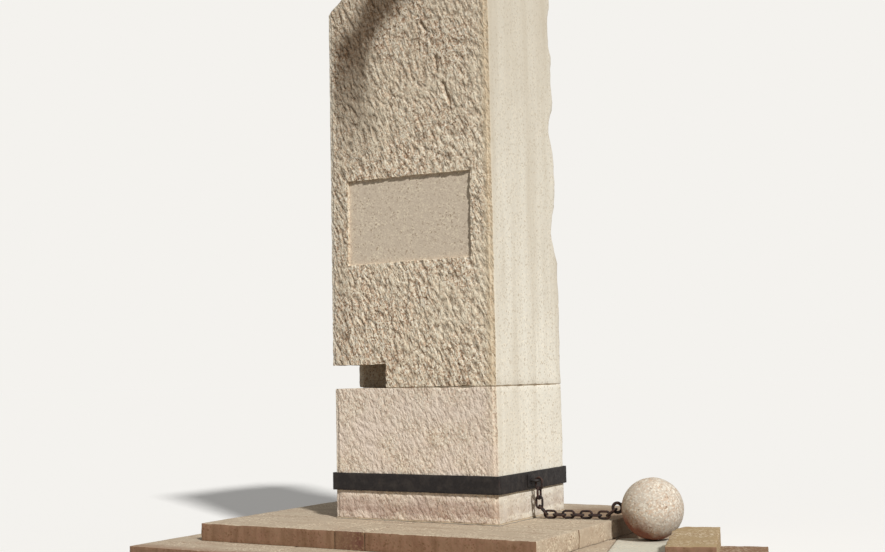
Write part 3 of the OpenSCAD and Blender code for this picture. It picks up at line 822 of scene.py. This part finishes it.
def notch_and_panel(stone, low, joint):
    """The shapes that are cut out of the upper block, and the panel's box."""
    walls = rough(0.09, 0.014, 13.0)
    notch = cutter("notch_space", Vector((low.x - CLEAR, low.y - CLEAR, joint - CLEAR)),
                   Vector((low.x + stone.notch_w, low.y + stone.notch_d, joint + stone.notch_h)), 0.02,
                   [(axis, 1, 0.03, walls) for axis in range(3)])
    corner = Vector((low.x + stone.panel_left, low.y - CLEAR, joint + stone.panel_up))
    size = Vector((stone.panel_w, CLEAR + stone.field + stone.panel_depth, stone.panel_h))
    edges = rough(0.07, 0.012, 19.0, 3)
    panel = cutter("panel_space", corner, corner + size, 0.014,
                   [(axis, side, 0.03, edges) for axis in (0, 2) for side in (-1, 1)]
                   + [(1, 1, 0.01, rough(0.05, 0.002, 29.0))])
    for vert in panel.data.vertices:
        if vert.co.z > corner.z + size.z / 2:
            vert.co.z += stone.panel_fall * (0.5 - (vert.co.x - corner.x) / size.x)
    return notch, panel, corner, size


# Rough rear face, read from its outline in the photo: share of the crest's height, and depth as a share
# of the rear hollow
REAR_PROFILE = ((0, 0), (0.2, 0.05), (0.235, 0.1), (0.25, 0.65), (0.277, 1.15), (0.287, 1.3), (0.3, 1.1),
                (0.323, 0.9), (0.345, 0.4), (0.39, 0.3), (0.453, 0.45), (0.477, 0.9), (0.489, 1.1),
                (0.5, 1.0), (0.525, 0.65), (0.549, 0.2), (0.585, 0.5), (0.64, 0.35), (0.68, 0.9),
                (0.705, 0.95), (0.74, 0.35), (0.8, 0.7), (0.88, 0.4), (1, 0.7))


def rear_share(share):
    """Depth of the rear face at a share of the crest's height, as a share of its deepest hollow."""
    for (start, level), (end, next_level) in zip(REAR_PROFILE, REAR_PROFILE[1:]):
        if share <= end:
            return level + (next_level - level) * max(0.0, share - start) / (end - start)
    return REAR_PROFILE[-1][1]


# Parts that each step of a front's grid is cut into
FRONT_PARTS = 4


def shaft_block(name, depth, rows, chip, others, levels, finishes, rear_cuts=0, slanted=Vector.copy):
    """A block of the shaft: its pointed front between smooth margins, and how its other sides are worked."""
    stone = chosen("stone")
    noise.seed_set(STROKE_SEED)
    low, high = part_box(name)
    bm = grid_block(low, high, stone.arris,
                    (stone.front_pitch * FRONT_PARTS, stone.side_pitch, rows * FRONT_PARTS))
    mark_faces(bm)
    refine(bm, -1, FRONT_PARTS - 1)
    if rear_cuts:
        refine(bm, 1, rear_cuts)
    front = ((1, -1, stone.arris * 1.3, pointed(stone, depth, low.x, high.x, levels)),
             (1, -1, 0.08, margins(stone, low.x, high.x)))
    places = [tuple(slanted(vert.co)) for vert in bm.verts]
    press_in(bm.verts, low, high, front + others, slanted)
    chip_edges(bm.verts, low, high, stone.side_pitch * 0.5, chip)
    hollows = [levels.get(place, 0.0) for place in places]
    for vert in bm.verts:
        vert.co = slanted(vert.co)
    return finished(name + "_stone", bm, (name,), finishes, BLOCK_SMOOTH, hollows)


def upper_block():
    """The upper block: slanted top, pointed front with a panel, a notch, axed sides, split rear."""
    stone = chosen("stone")
    low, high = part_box("upper_block")
    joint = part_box("lower_block")[1].z
    slope = math.tan(stone.top_slope)
    crest = high.z - low.z
    levels = {}
    fine = rough(0.06, 0.008, 27.0, 3)

    def slanted(place):
        top = high.z - (high.x - place.x) * slope
        return Vector((place.x, place.y, low.z + (place.z - low.z) * (top - low.z) / crest))

    def rear(place):
        share = (place.z - low.z) / crest
        # The hollows follow the profile at the right, and wander up and down towards the left
        from_right = (high.x - place.x) / (high.x - low.x)
        shift = 0.08 * from_right * noise.noise(Vector((place.x * 2.0, 0.0, place.z * 1.3)))
        broken = min(1.0, 1.5 * abs(noise.fractal(place / 0.38 + Vector((2.0, 0.0, 5.0)), 1.0, 2.1, 4)))
        # The rear is marked hollow where its breaks run deep, for dirt and painted shade there
        levels[tuple(place)] = smooth_step(broken + 60 * fine(place), 0.5, 1.2)
        return max(0.0, rear_share(share + shift) * stone.rear_hollow + stone.rear_depth * broken
                   + fine(place) - 0.012)

    others = ((1, 1, 0.4, rear), (0, 1, 0.05, rough(0.3, 0.006, 5.0)),
              (0, -1, 0.05, rough(0.3, 0.006, 6.0)), (2, 1, 0.15, rough(0.12, 0.03, 7.0)))
    piece = shaft_block("upper_block", stone.upper_depth, stone.front_rows, stone.chip, others, levels,
                        ("pointed_granite", "axed_granite", "split_granite", "panel_granite"), 1, slanted)
    notch, panel, corner, size = notch_and_panel(stone, low, joint)
    cut_out(piece, (notch, panel))
    # The panel's floor is what lies in its box, at its depth
    floor_y = low.y + stone.field + stone.panel_depth
    for face in piece.data.polygons:
        in_panel = all(corner[a] < face.center[a] < corner[a] + size[a] + stone.panel_fall for a in (0, 2))
        if in_panel and low.y + 0.1 > face.center.y > floor_y - 0.006:
            face.material_index = PANEL_FLOOR
    # Painted shade on the notch's walls: they are marked hollow all over, so they take the hollow colour at
    # its strongest
    layer = piece.data.attributes["hollow"]
    for vert in piece.data.vertices:
        place = vert.co
        if (place.x < low.x + stone.notch_w + MM and low.y + 0.03 < place.y < low.y + stone.notch_d + MM
                and place.z < joint + stone.notch_h + MM):
            layer.data[vert.index].value = 1.0
    piece.data.set_sharp_from_angle(angle=math.radians(BLOCK_SMOOTH))


def lower_block():
    """The lower block: the same front worked finer, axed sides and rear."""
    stone = chosen("stone")
    others = ((1, 1, 0.1, rough(0.25, 0.02, 3.0)), (0, 1, 0.05, rough(0.3, 0.005, 15.0)),
              (0, -1, 0.05, rough(0.3, 0.005, 16.0)), (2, 1, 0.01, rough(0.2, 0.002, 17.0)))
    # Rows a quarter closer than the upper block's, and smaller chips
    shaft_block("lower_block", stone.lower_depth, stone.front_rows * 0.75, stone.chip * 0.8, others, {},
                ("pointed_lower", "axed_granite", "split_granite"))


def slab_mesh(low, high, stone, seed, riven_sides):
    """A weathered slab and its dirt: an uneven top, riven outer faces, chipped arrises, dirty joints."""
    bm = grid_block(low, high, stone.arris, (stone.slab_pitch,) * 3)
    riven, flat = rough(0.11, stone.riven, seed + 3.0, 5), rough(0.11, 0.002, seed)
    joint_sides = [way for way in ALL_SIDES if way not in riven_sides]
    # Dirt fills the faces in the joints, up to the arris of the top
    dirt = []
    for vert in bm.verts:
        gap = min((high[axis] - vert.co[axis] if side > 0 else vert.co[axis] - low[axis]
                   for axis, side in joint_sides), default=1.0)
        dirt.append(1.0 if gap < 0.4 * stone.arris and vert.co.z < high.z - 0.4 * stone.arris else 0.0)
    faces = [(2, 1, 0.02, rough(0.22, 0.0025, seed))]
    faces += [(*way, 0.04, riven) for way in riven_sides] + [(*way, 0.04, flat) for way in joint_sides]
    press_in(bm.verts, low, high, faces)
    top = [v for v in bm.verts if v.co.z > high.z - 0.05]
    chip_edges(top, low, high, 0.03, stone.chip)
    return bm, dirt


def free_sides(names, low, high):
    """The sides of a slab that lie at the outline of its step, to within 20 mm."""
    boxes = [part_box(name) for name in names]
    return [(axis, side) for axis, side in ALL_SIDES
            if (high[axis] > max(b[1][axis] for b in boxes) - 0.02 if side > 0
                else low[axis] < min(b[0][axis] for b in boxes) + 0.02)]


def slabs(names, step, surface):
    """Straight slabs of a step, one of several that lie against each other."""
    for place, name in enumerate(names):
        low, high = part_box(name)
        bm, dirt = slab_mesh(low, high, chosen("stone"), 11.0 * place + low.x, free_sides(step, low, high))
        finished(name + "_stone", bm, (name,), [surface], hollow=dirt)


def upper_step():
    """The slabs of the upper step, one of them narrow and dark."""
    plain = [name for name in UPPER_STEP if name != "upper_front_narrow"]
    slabs(plain, UPPER_STEP, "riven_step_granite")
    slabs(["upper_front_narrow"], UPPER_STEP, "riven_dark_granite")


def lower_step():
    """The straight slabs of the lower step."""
    slabs(LOWER_STEP, LOWER_STEP, "riven_step_granite")


def ball_place():
    """Middle and radius of the ball; its box is short only on the side of the eye."""
    low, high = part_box("ball")
    radius = (high.y - low.y) / 2
    return Vector((high.x - radius, (low.y + high.y) / 2, high.z - radius)), radius


def wing_frame():
    """The frame of the ball's bed and the wing: upright through the ball's middle, and turned."""
    middle, _ = ball_place()
    return Matrix.Translation((middle.x, middle.y, 0)) @ Matrix.Rotation(chosen("stone").wing_turn, 4, "Z")


def turned_slab(name, seed, turn):
    """A slab of the wing or the ball's bed, and its lowest and highest corners, in their turned frame."""
    back = turn.inverted()
    places = [back @ vert.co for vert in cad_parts[name].data.vertices]
    low, high = (Vector([pick(p[a] for p in places) for a in range(3)]) for pick in (min, max))
    bm, _ = slab_mesh(low, high, chosen("stone"), seed, ALL_SIDES)
    return bm, low, high


def cut_off(bm, point, normal):
    """Cut away what lies beyond a plane, and close the cut."""
    geometry = bm.verts[:] + bm.edges[:] + bm.faces[:]
    cut = bmesh.ops.bisect_plane(bm, geom=geometry, plane_co=point, plane_no=normal, clear_outer=True)
    rim = [part for part in cut["geom_cut"] if isinstance(part, bmesh.types.BMEdge)]
    bmesh.ops.holes_fill(bm, edges=rim)


def bed_and_wing():
    """The turned slabs: the ball's pale bed, the wing slab, the block on it with a broken corner."""
    stone = chosen("stone")
    turn = wing_frame()
    step_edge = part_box("upper_right_slab")[1].x

    bm, bed_low, _ = turned_slab("ball_bed", 71.0, turn)
    bmesh.ops.transform(bm, matrix=turn, verts=bm.verts)
    cut_off(bm, Vector((step_edge + stone.joint / 2, 0, 0)), Vector((-1, 0, 0)))
    finished("ball_bed_stone", bm, ("ball_bed",), ["sawn_pale_granite"])

    for name in ("lower_front_right", "lower_wedge_slab"):
        low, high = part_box(name)
        bm, _ = slab_mesh(low, high, stone, 77.0 + low.y, ((1, -1), (1, 1)))
        cut_off(bm, turn @ Vector((bed_low.x - stone.joint, 0, 0)), turn.to_3x3() @ Vector((1, 0, 0)))
        finished(name + "_stone", bm, (name,), ["riven_step_granite"])

    bm, _, _ = turned_slab("wing_slab", 83.0, turn)
    bmesh.ops.transform(bm, matrix=turn, verts=bm.verts)
    finished("wing_slab_stone", bm, ("wing_slab",), ["split_wing_slab_granite"])

    bm, low, high = turned_slab("wing_block", 89.0, turn)
    corners = [Vector((low.x + stone.chip_w, high.y, 0)),
               Vector((low.x + 0.4 * stone.chip_w, high.y - 0.5 * stone.chip_l, 0)),
               Vector((low.x, high.y - stone.chip_l, 0))]
    for start, end in zip(corners, corners[1:]):
        run = end - start
        cut_off(bm, start, Vector((run.y, -run.x, 0)))
    bmesh.ops.transform(bm, matrix=turn, verts=bm.verts)
    finished("wing_block_stone", bm, ("wing_block",), ["split_wing_granite"])


def mortar():
    """Mortar that fills the joints unevenly; the footing keeps the shape of its CAD node."""
    stone = chosen("stone")
    for name, proud in (("base_mortar", stone.base_bead), ("bed_mortar", stone.joint_fill)):
        low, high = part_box(name)
        edge = Vector((proud, proud, 0))
        low, high = low - edge, high + edge
        bm = grid_block(low, high, MM, (0.02, 0.02, math.inf))
        broken = rough(0.12, 0.016, 51.0 + high.z, 5)
        press_in(bm.verts, low, high, [(*way, 0.03, broken) for way in ALL_SIDES])
        piece = finished(name + "_fill", bm, (name,), ["weathered_mortar"])
        if name == "bed_mortar":
            upper_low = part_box("upper_block")[0]
            reach = Vector((stone.notch_w, stone.notch_d, 0.1))
            cut_out(piece, [cutter("notch_in_mortar", upper_low - Vector((0.1, 0.1, 0.1)),
                                   upper_low + reach, 0.1)])
    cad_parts["footing"].material_slots[0].material = finish("cast_concrete")


def granite_ball():
    """The ball: pecked all over, flat where it rests and under the eye's collar."""
    middle, radius = ball_place()
    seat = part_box("ball")[0].z
    along = eye_direction()
    flat = eye_flat(radius)
    bm = bmesh.new()
    bmesh.ops.create_icosphere(bm, subdivisions=7, radius=radius)
    pecked = rough(0.03, 0.0022, 21.0, 4)
    wave = rough(0.2, 0.004, 23.0, 3)
    for vert in bm.verts:
        depth = pecked(vert.co) + wave(vert.co)
        vert.co -= vert.co.normalized() * depth
        past = vert.co.dot(along) - flat
        if past > 0:
            vert.co -= along * past
        vert.co += middle
        vert.co.z = max(vert.co.z, seat)
    return finished("ball_stone", bm, ("ball",), ["pecked_granite"])


def eye_direction():
    """The way that the eye bolt points, out of the ball, level."""
    middle, _ = ball_place()
    ring = [v.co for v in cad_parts["ball_eye"].data.vertices]
    away = sum(ring, Vector()) / len(ring) - middle
    return Vector((away.x, away.y, 0)).normalized()


def eye_flat(radius):
    """Distance of the collar's seat from the ball's middle."""
    return math.sqrt(radius ** 2 - (chosen("iron").collar_d / 2) ** 2)


def bar_start(bm, diameter, place):
    """The section of a bar at a place, across the X axis."""
    turn = Matrix.Translation(place) @ Matrix.Rotation(math.pi / 2, 4, "Y")
    made = bmesh.ops.create_circle(bm, cap_ends=False, segments=chosen("iron").sides, radius=diameter / 2,
                                   matrix=turn)
    return list(dict.fromkeys(edge for vert in made["verts"] for edge in vert.link_edges))


def extruded(bm, loop, step, count):
    """Draw a loop of edges out in equal steps, and give the last loop."""
    for _ in range(count):
        drawn = bmesh.ops.extrude_edge_only(bm, edges=loop)["geom"]
        verts = [part for part in drawn if isinstance(part, bmesh.types.BMVert)]
        bmesh.ops.translate(bm, vec=step, verts=verts)
        loop = [part for part in drawn if isinstance(part, bmesh.types.BMEdge)
                and all(vert in verts for vert in part.verts)]
    return loop


def spun(bm, loop, centre, steps):
    """Turn a loop of edges half round, about an upright through a centre, and give the last loop."""
    made = bmesh.ops.spin(bm, geom=loop, cent=centre, axis=(0, 0, 1), angle=math.pi, steps=steps)
    return [part for part in made["geom_last"] if isinstance(part, bmesh.types.BMEdge)]


def forged(bm, depth, swell=0.0, seed=0.0):
    """Make a smooth bar uneven from the hammer, always inwards, with a weld swelling on one leg."""
    bmesh.ops.recalc_face_normals(bm, faces=bm.faces)
    bm.normal_update()
    uneven = rough(0.018, depth, seed)
    for vert in bm.verts:
        # The weld falls off within about 16 mm of the leg's middle
        weld = swell * math.exp(-(vert.co.x / 0.016) ** 2) if vert.co.y > 0 else 0.0
        vert.co -= vert.normal * (uneven(vert.co) + swell - weld) if swell else vert.normal * uneven(vert.co)


def link_mesh(iron, seed):
    """A forged link, its long axis along X and flat in XY."""
    bow = (iron.link_inner + iron.link_bar) / 2
    leg = iron.link_length - iron.link_inner
    bm = bmesh.new()
    loop = bar_start(bm, iron.link_bar, (leg / 2, -bow, 0))
    for side in (1, -1):
        loop = spun(bm, loop, (side * leg / 2, 0, 0), 14)
        loop = extruded(bm, loop, (-side * leg / 6, 0, 0), 6)
    bmesh.ops.remove_doubles(bm, verts=bm.verts, dist=0.0001)
    forged(bm, iron.forge, iron.weld * 0.4, seed)
    return bm


def node_axes(name):
    """The long axis, the width axis and the middle of a CAD node, from its farthest places."""
    places = [vert.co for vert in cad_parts[name].data.vertices]
    mean = sum(places, Vector()) / len(places)
    first = max(places, key=lambda p: (p - mean).length)
    second = max(places, key=lambda p: (p - first).length)
    long_axis = (second - first).normalized()
    middle = (first + second) / 2
    across = [(p - middle) - long_axis * (p - middle).dot(long_axis) for p in places]
    widest = max(across, key=lambda v: v.length)
    # The mean of the places nearly as wide as the widest is in the middle of the facets
    wide = Vector()
    for way in across:
        if way.length > 0.985 * widest.length:
            wide += way if way.dot(widest) > 0 else -way
    wide = (wide - long_axis * wide.dot(long_axis)).normalized()
    turn = Matrix((long_axis, wide, long_axis.cross(wide))).transposed().to_4x4()
    return Matrix.Translation(middle) @ turn


def chain():
    """The links, each turned and placed as its CAD node is."""
    for place, name in enumerate(LINKS):
        bm = link_mesh(chosen("iron"), 5.0 * place)
        bmesh.ops.transform(bm, matrix=node_axes(name), verts=bm.verts)
        finished(name + "_iron", bm, (name,), ["rusted_iron"], 60)


def band():
    """The four straps of the band, dented by the hammer, with worn edges."""
    iron = chosen("iron")
    for place, name in enumerate(STRAPS):
        low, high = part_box(name)
        bm = box_mesh(low, high)
        if name in ("band_front", "band_rear"):
            outer = low.y if name == "band_front" else high.y
            corners = [e for e in bm.edges if all(abs(v.co.y - outer) < MM for v in e.verts)
                       and abs(e.verts[0].co.z - e.verts[1].co.z) > MM]
            round_off(bm, corners, iron.corner, 5)
        round_off(bm, sharp_edges(bm), 0.0025)
        ladder(bm, (0.02, 0.02, 0.02))
        dents = rough(iron.hammer_size, iron.hammer, 31.0 + place, 3)
        waver = rough(0.12, 0.003, 37.0)
        press_in(bm.verts, low, high, [(*way, 0.01, dents) for way in ALL_SIDES]
                 + [(2, side, 0.01, waver) for side in (-1, 1)])
        finished(name + "_iron", bm, (name,), ["black_iron"], 35)


def staple():
    """The staple: a hammered pad with rounded corners, and a bow of round bar."""
    iron = chosen("iron")
    low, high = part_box("band_staple")
    pad_high = Vector((low.x + iron.pad, high.y, high.z))
    bm = box_mesh(low, pad_high)
    corners = [e for e in bm.edges if abs(e.verts[0].co.x - e.verts[1].co.x) > MM]
    round_off(bm, corners, 0.012, 4)
    round_off(bm, sharp_edges(bm), 0.002)
    ladder(bm, (math.inf, 0.012, 0.012))
    press_in(bm.verts, low, pad_high, [(0, 1, 0.005, rough(0.03, iron.hammer, 41.0, 3))])
    finished("staple_pad_iron", bm, (), ["black_iron"])

    middle = Vector((pad_high.x, (low.y + high.y) / 2, (low.z + high.z) / 2))
    bow = iron.staple_inner + iron.staple_bar / 2
    leg = high.x - pad_high.x - bow - iron.staple_bar / 2
    step = (leg + iron.pad / 2) / 4
    bm = bmesh.new()
    loop = bar_start(bm, iron.staple_bar, (-iron.pad / 2, -bow, 0))
    loop = extruded(bm, loop, (step, 0, 0), 4)
    loop = spun(bm, loop, (leg, 0, 0), 16)
    extruded(bm, loop, (-step, 0, 0), 4)
    bmesh.ops.holes_fill(bm, edges=bm.edges)
    forged(bm, iron.forge, seed=43.0)
    bmesh.ops.translate(bm, vec=middle, verts=bm.verts)
    finished("staple_bow_iron", bm, ("band_staple",), ["black_iron"], 60)


def eye_bolt():
    """The eye bolt: a ring of round bar on a collar that is seated on the ball's flat."""
    iron = chosen("iron")
    middle, radius = ball_place()
    seat = eye_flat(radius)
    turn = Matrix.Translation(middle) @ eye_direction().to_track_quat("X", "Z").to_matrix().to_4x4()

    # Half section of the shank's end, the collar and the boss under the ring, about the X axis
    rim, bar, thick = iron.collar_d / 2, iron.staple_bar, iron.collar_t
    places = ((-0.02, 0), (-0.02, bar / 2), (0, bar / 2), (0, rim), (thick * 0.7, rim),
              (thick, rim * 0.9), (thick, bar * 0.6), (thick * 1.4, bar * 0.5), (thick * 1.4, 0))
    bm = bmesh.new()
    profile = [bm.verts.new((seat + along, out, 0)) for along, out in places]
    edges = [bm.edges.new(pair) for pair in zip(profile, profile[1:])]
    bmesh.ops.spin(bm, geom=edges, cent=(0, 0, 0), axis=(1, 0, 0), angle=math.tau, steps=48, use_merge=True)
    bmesh.ops.remove_doubles(bm, verts=bm.verts, dist=0.00005)
    bmesh.ops.recalc_face_normals(bm, faces=bm.faces)
    bmesh.ops.transform(bm, matrix=turn, verts=bm.verts)
    finished("eye_collar_iron", bm, (), ["rusted_iron"], 35)

    ring = iron.eye_inner + bar / 2
    bm = bmesh.new()
    loop = bar_start(bm, bar, (0, -ring, 0))
    bmesh.ops.spin(bm, geom=loop, cent=(0, 0, 0), axis=(0, 0, 1), angle=math.tau, steps=40, use_merge=True)
    forged(bm, iron.forge, seed=47.0)
    stand = Matrix.Translation((seat + thick + ring, 0, 0)) @ Matrix.Rotation(math.pi / 2, 4, "X")
    bmesh.ops.transform(bm, matrix=turn @ stand, verts=bm.verts)
    finished("eye_ring_iron", bm, ("ball_eye",), ["rusted_iron"], 60)


def stage():
    """Camera, key light, even light, floor and backdrop."""
    plan = chosen("stage")
    scene = bpy.context.scene
    scene.view_settings.view_transform = "Standard"

    camera = bpy.data.cameras.new("camera")
    camera.sensor_width, camera.lens = 36.0, plan.lens
    camera.clip_end = 1000.0
    scene.camera = shown("camera", camera)
    scene.camera.matrix_world = (Matrix.Translation(plan.camera_place)
                                 @ Matrix.Rotation(plan.heading, 4, "Z")
                                 @ Matrix.Rotation(math.pi / 2 + plan.pitch, 4, "X")
                                 @ Matrix.Rotation(-plan.roll, 4, "Z"))

    sun = bpy.data.lights.new("key", "SUN")
    sun.energy, sun.angle = plan.sun_strength, plan.sun_softness
    shown("key", sun).matrix_world = (Matrix.Rotation(plan.sun_turn, 4, "Z")
                                      @ Matrix.Rotation(math.pi / 2 - plan.sun_height, 4, "Y"))

    scene.world = bpy.data.worlds.new("studio")
    scene.world.use_nodes = True
    tree = scene.world.node_tree
    tree.nodes.clear()
    even = add(tree, "Background", {"Color": grey(1.0), "Strength": plan.sky_strength})
    backdrop = add(tree, "Background", {"Color": plan.backdrop, "Strength": 1.0})
    mixed = add(tree, "MixShader", {0: seen_rays(tree), 1: even, 2: backdrop})
    add(tree, "OutputWorld", {"Surface": mixed})

    bm = bmesh.new()
    bmesh.ops.create_circle(bm, cap_ends=True, segments=96, radius=plan.floor_radius)
    floor = shown("floor", mesh_of("floor", bm))
    floor.data.materials.append(finish("matt_studio_floor"))


class SteleMaker:
    """Shared by the operators: each makes its own pieces."""
    bl_options = {"REGISTER", "UNDO"}

    def execute(self, context):
        self.make()
        return {"FINISHED"}


class STELE_OT_stage(SteleMaker, bpy.types.Operator):
    """Set up the camera, the lights and the floor."""
    bl_idname = "stele.stage"
    bl_label = "Stage"
    make = staticmethod(stage)


class STELE_OT_upper_block(SteleMaker, bpy.types.Operator):
    """Make the upper block with its pointed front, panel, notch and split rear."""
    bl_idname = "stele.upper_block"
    bl_label = "Upper block"
    make = staticmethod(upper_block)


class STELE_OT_lower_block(SteleMaker, bpy.types.Operator):
    """Make the lower block."""
    bl_idname = "stele.lower_block"
    bl_label = "Lower block"
    make = staticmethod(lower_block)


class STELE_OT_mortar(SteleMaker, bpy.types.Operator):
    """Make the mortar beds and give the footing its finish."""
    bl_idname = "stele.mortar"
    bl_label = "Mortar and footing"
    make = staticmethod(mortar)


class STELE_OT_band(SteleMaker, bpy.types.Operator):
    """Make the four straps of the iron band."""
    bl_idname = "stele.band"
    bl_label = "Iron band"
    make = staticmethod(band)


class STELE_OT_staple(SteleMaker, bpy.types.Operator):
    """Make the staple with its pad."""
    bl_idname = "stele.staple"
    bl_label = "Staple"
    make = staticmethod(staple)


class STELE_OT_chain(SteleMaker, bpy.types.Operator):
    """Make the links of the chain."""
    bl_idname = "stele.chain"
    bl_label = "Chain"
    make = staticmethod(chain)


class STELE_OT_ball(SteleMaker, bpy.types.Operator):
    """Make the stone ball."""
    bl_idname = "stele.ball"
    bl_label = "Ball"
    make = staticmethod(granite_ball)


class STELE_OT_eye_bolt(SteleMaker, bpy.types.Operator):
    """Make the eye bolt of the ball."""
    bl_idname = "stele.eye_bolt"
    bl_label = "Eye bolt"
    make = staticmethod(eye_bolt)


class STELE_OT_upper_step(SteleMaker, bpy.types.Operator):
    """Make the slabs of the upper step."""
    bl_idname = "stele.upper_step"
    bl_label = "Upper step"
    make = staticmethod(upper_step)


class STELE_OT_lower_step(SteleMaker, bpy.types.Operator):
    """Make the straight slabs of the lower step."""
    bl_idname = "stele.lower_step"
    bl_label = "Lower step"
    make = staticmethod(lower_step)


class STELE_OT_bed_and_wing(SteleMaker, bpy.types.Operator):
    """Make the ball's bed, the slabs cut along it, and the wing."""
    bl_idname = "stele.bed_and_wing"
    bl_label = "Bed and wing"
    make = staticmethod(bed_and_wing)


MAKERS = (STELE_OT_stage, STELE_OT_upper_block, STELE_OT_lower_block, STELE_OT_mortar, STELE_OT_band,
          STELE_OT_staple, STELE_OT_chain, STELE_OT_ball, STELE_OT_eye_bolt, STELE_OT_upper_step,
          STELE_OT_lower_step, STELE_OT_bed_and_wing)

GROUPS = {"stone": SteleStone, "iron": SteleIron, "colours": SteleColours, "stage": SteleStage}


class STELE_PT_panel(bpy.types.Panel):
    """Sizes, colours and pieces of the stele."""
    bl_idname = "STELE_PT_panel"
    bl_label = "Granite stele"
    bl_space_type = "VIEW_3D"
    bl_region_type = "UI"
    bl_category = "Stele"

    def draw(self, context):
        for maker in MAKERS:
            self.layout.operator(maker.bl_idname)
        for group in GROUPS:
            box = self.layout.box()
            for name in GROUPS[group].__annotations__:
                box.prop(chosen(group), name)


def register():
    """Register the classes, and hang the groups of sizes and colours on the scene."""
    for kind in (*GROUPS.values(), *MAKERS, STELE_PT_panel):
        bpy.utils.register_class(kind)
    for name, kind in GROUPS.items():
        setattr(bpy.types.Scene, "stele_" + name, PointerProperty(type=kind))


def unregister():
    """Take the groups and the classes away again."""
    for name in GROUPS:
        delattr(bpy.types.Scene, "stele_" + name)
    for kind in (STELE_PT_panel, *MAKERS, *GROUPS.values()):
        bpy.utils.unregister_class(kind)


def main():
    """Make every piece in order."""
    register()
    for maker in MAKERS:
        group, name = maker.bl_idname.split(".")
        getattr(getattr(bpy.ops, group), name)()


if __name__ == "__main__":
    main()
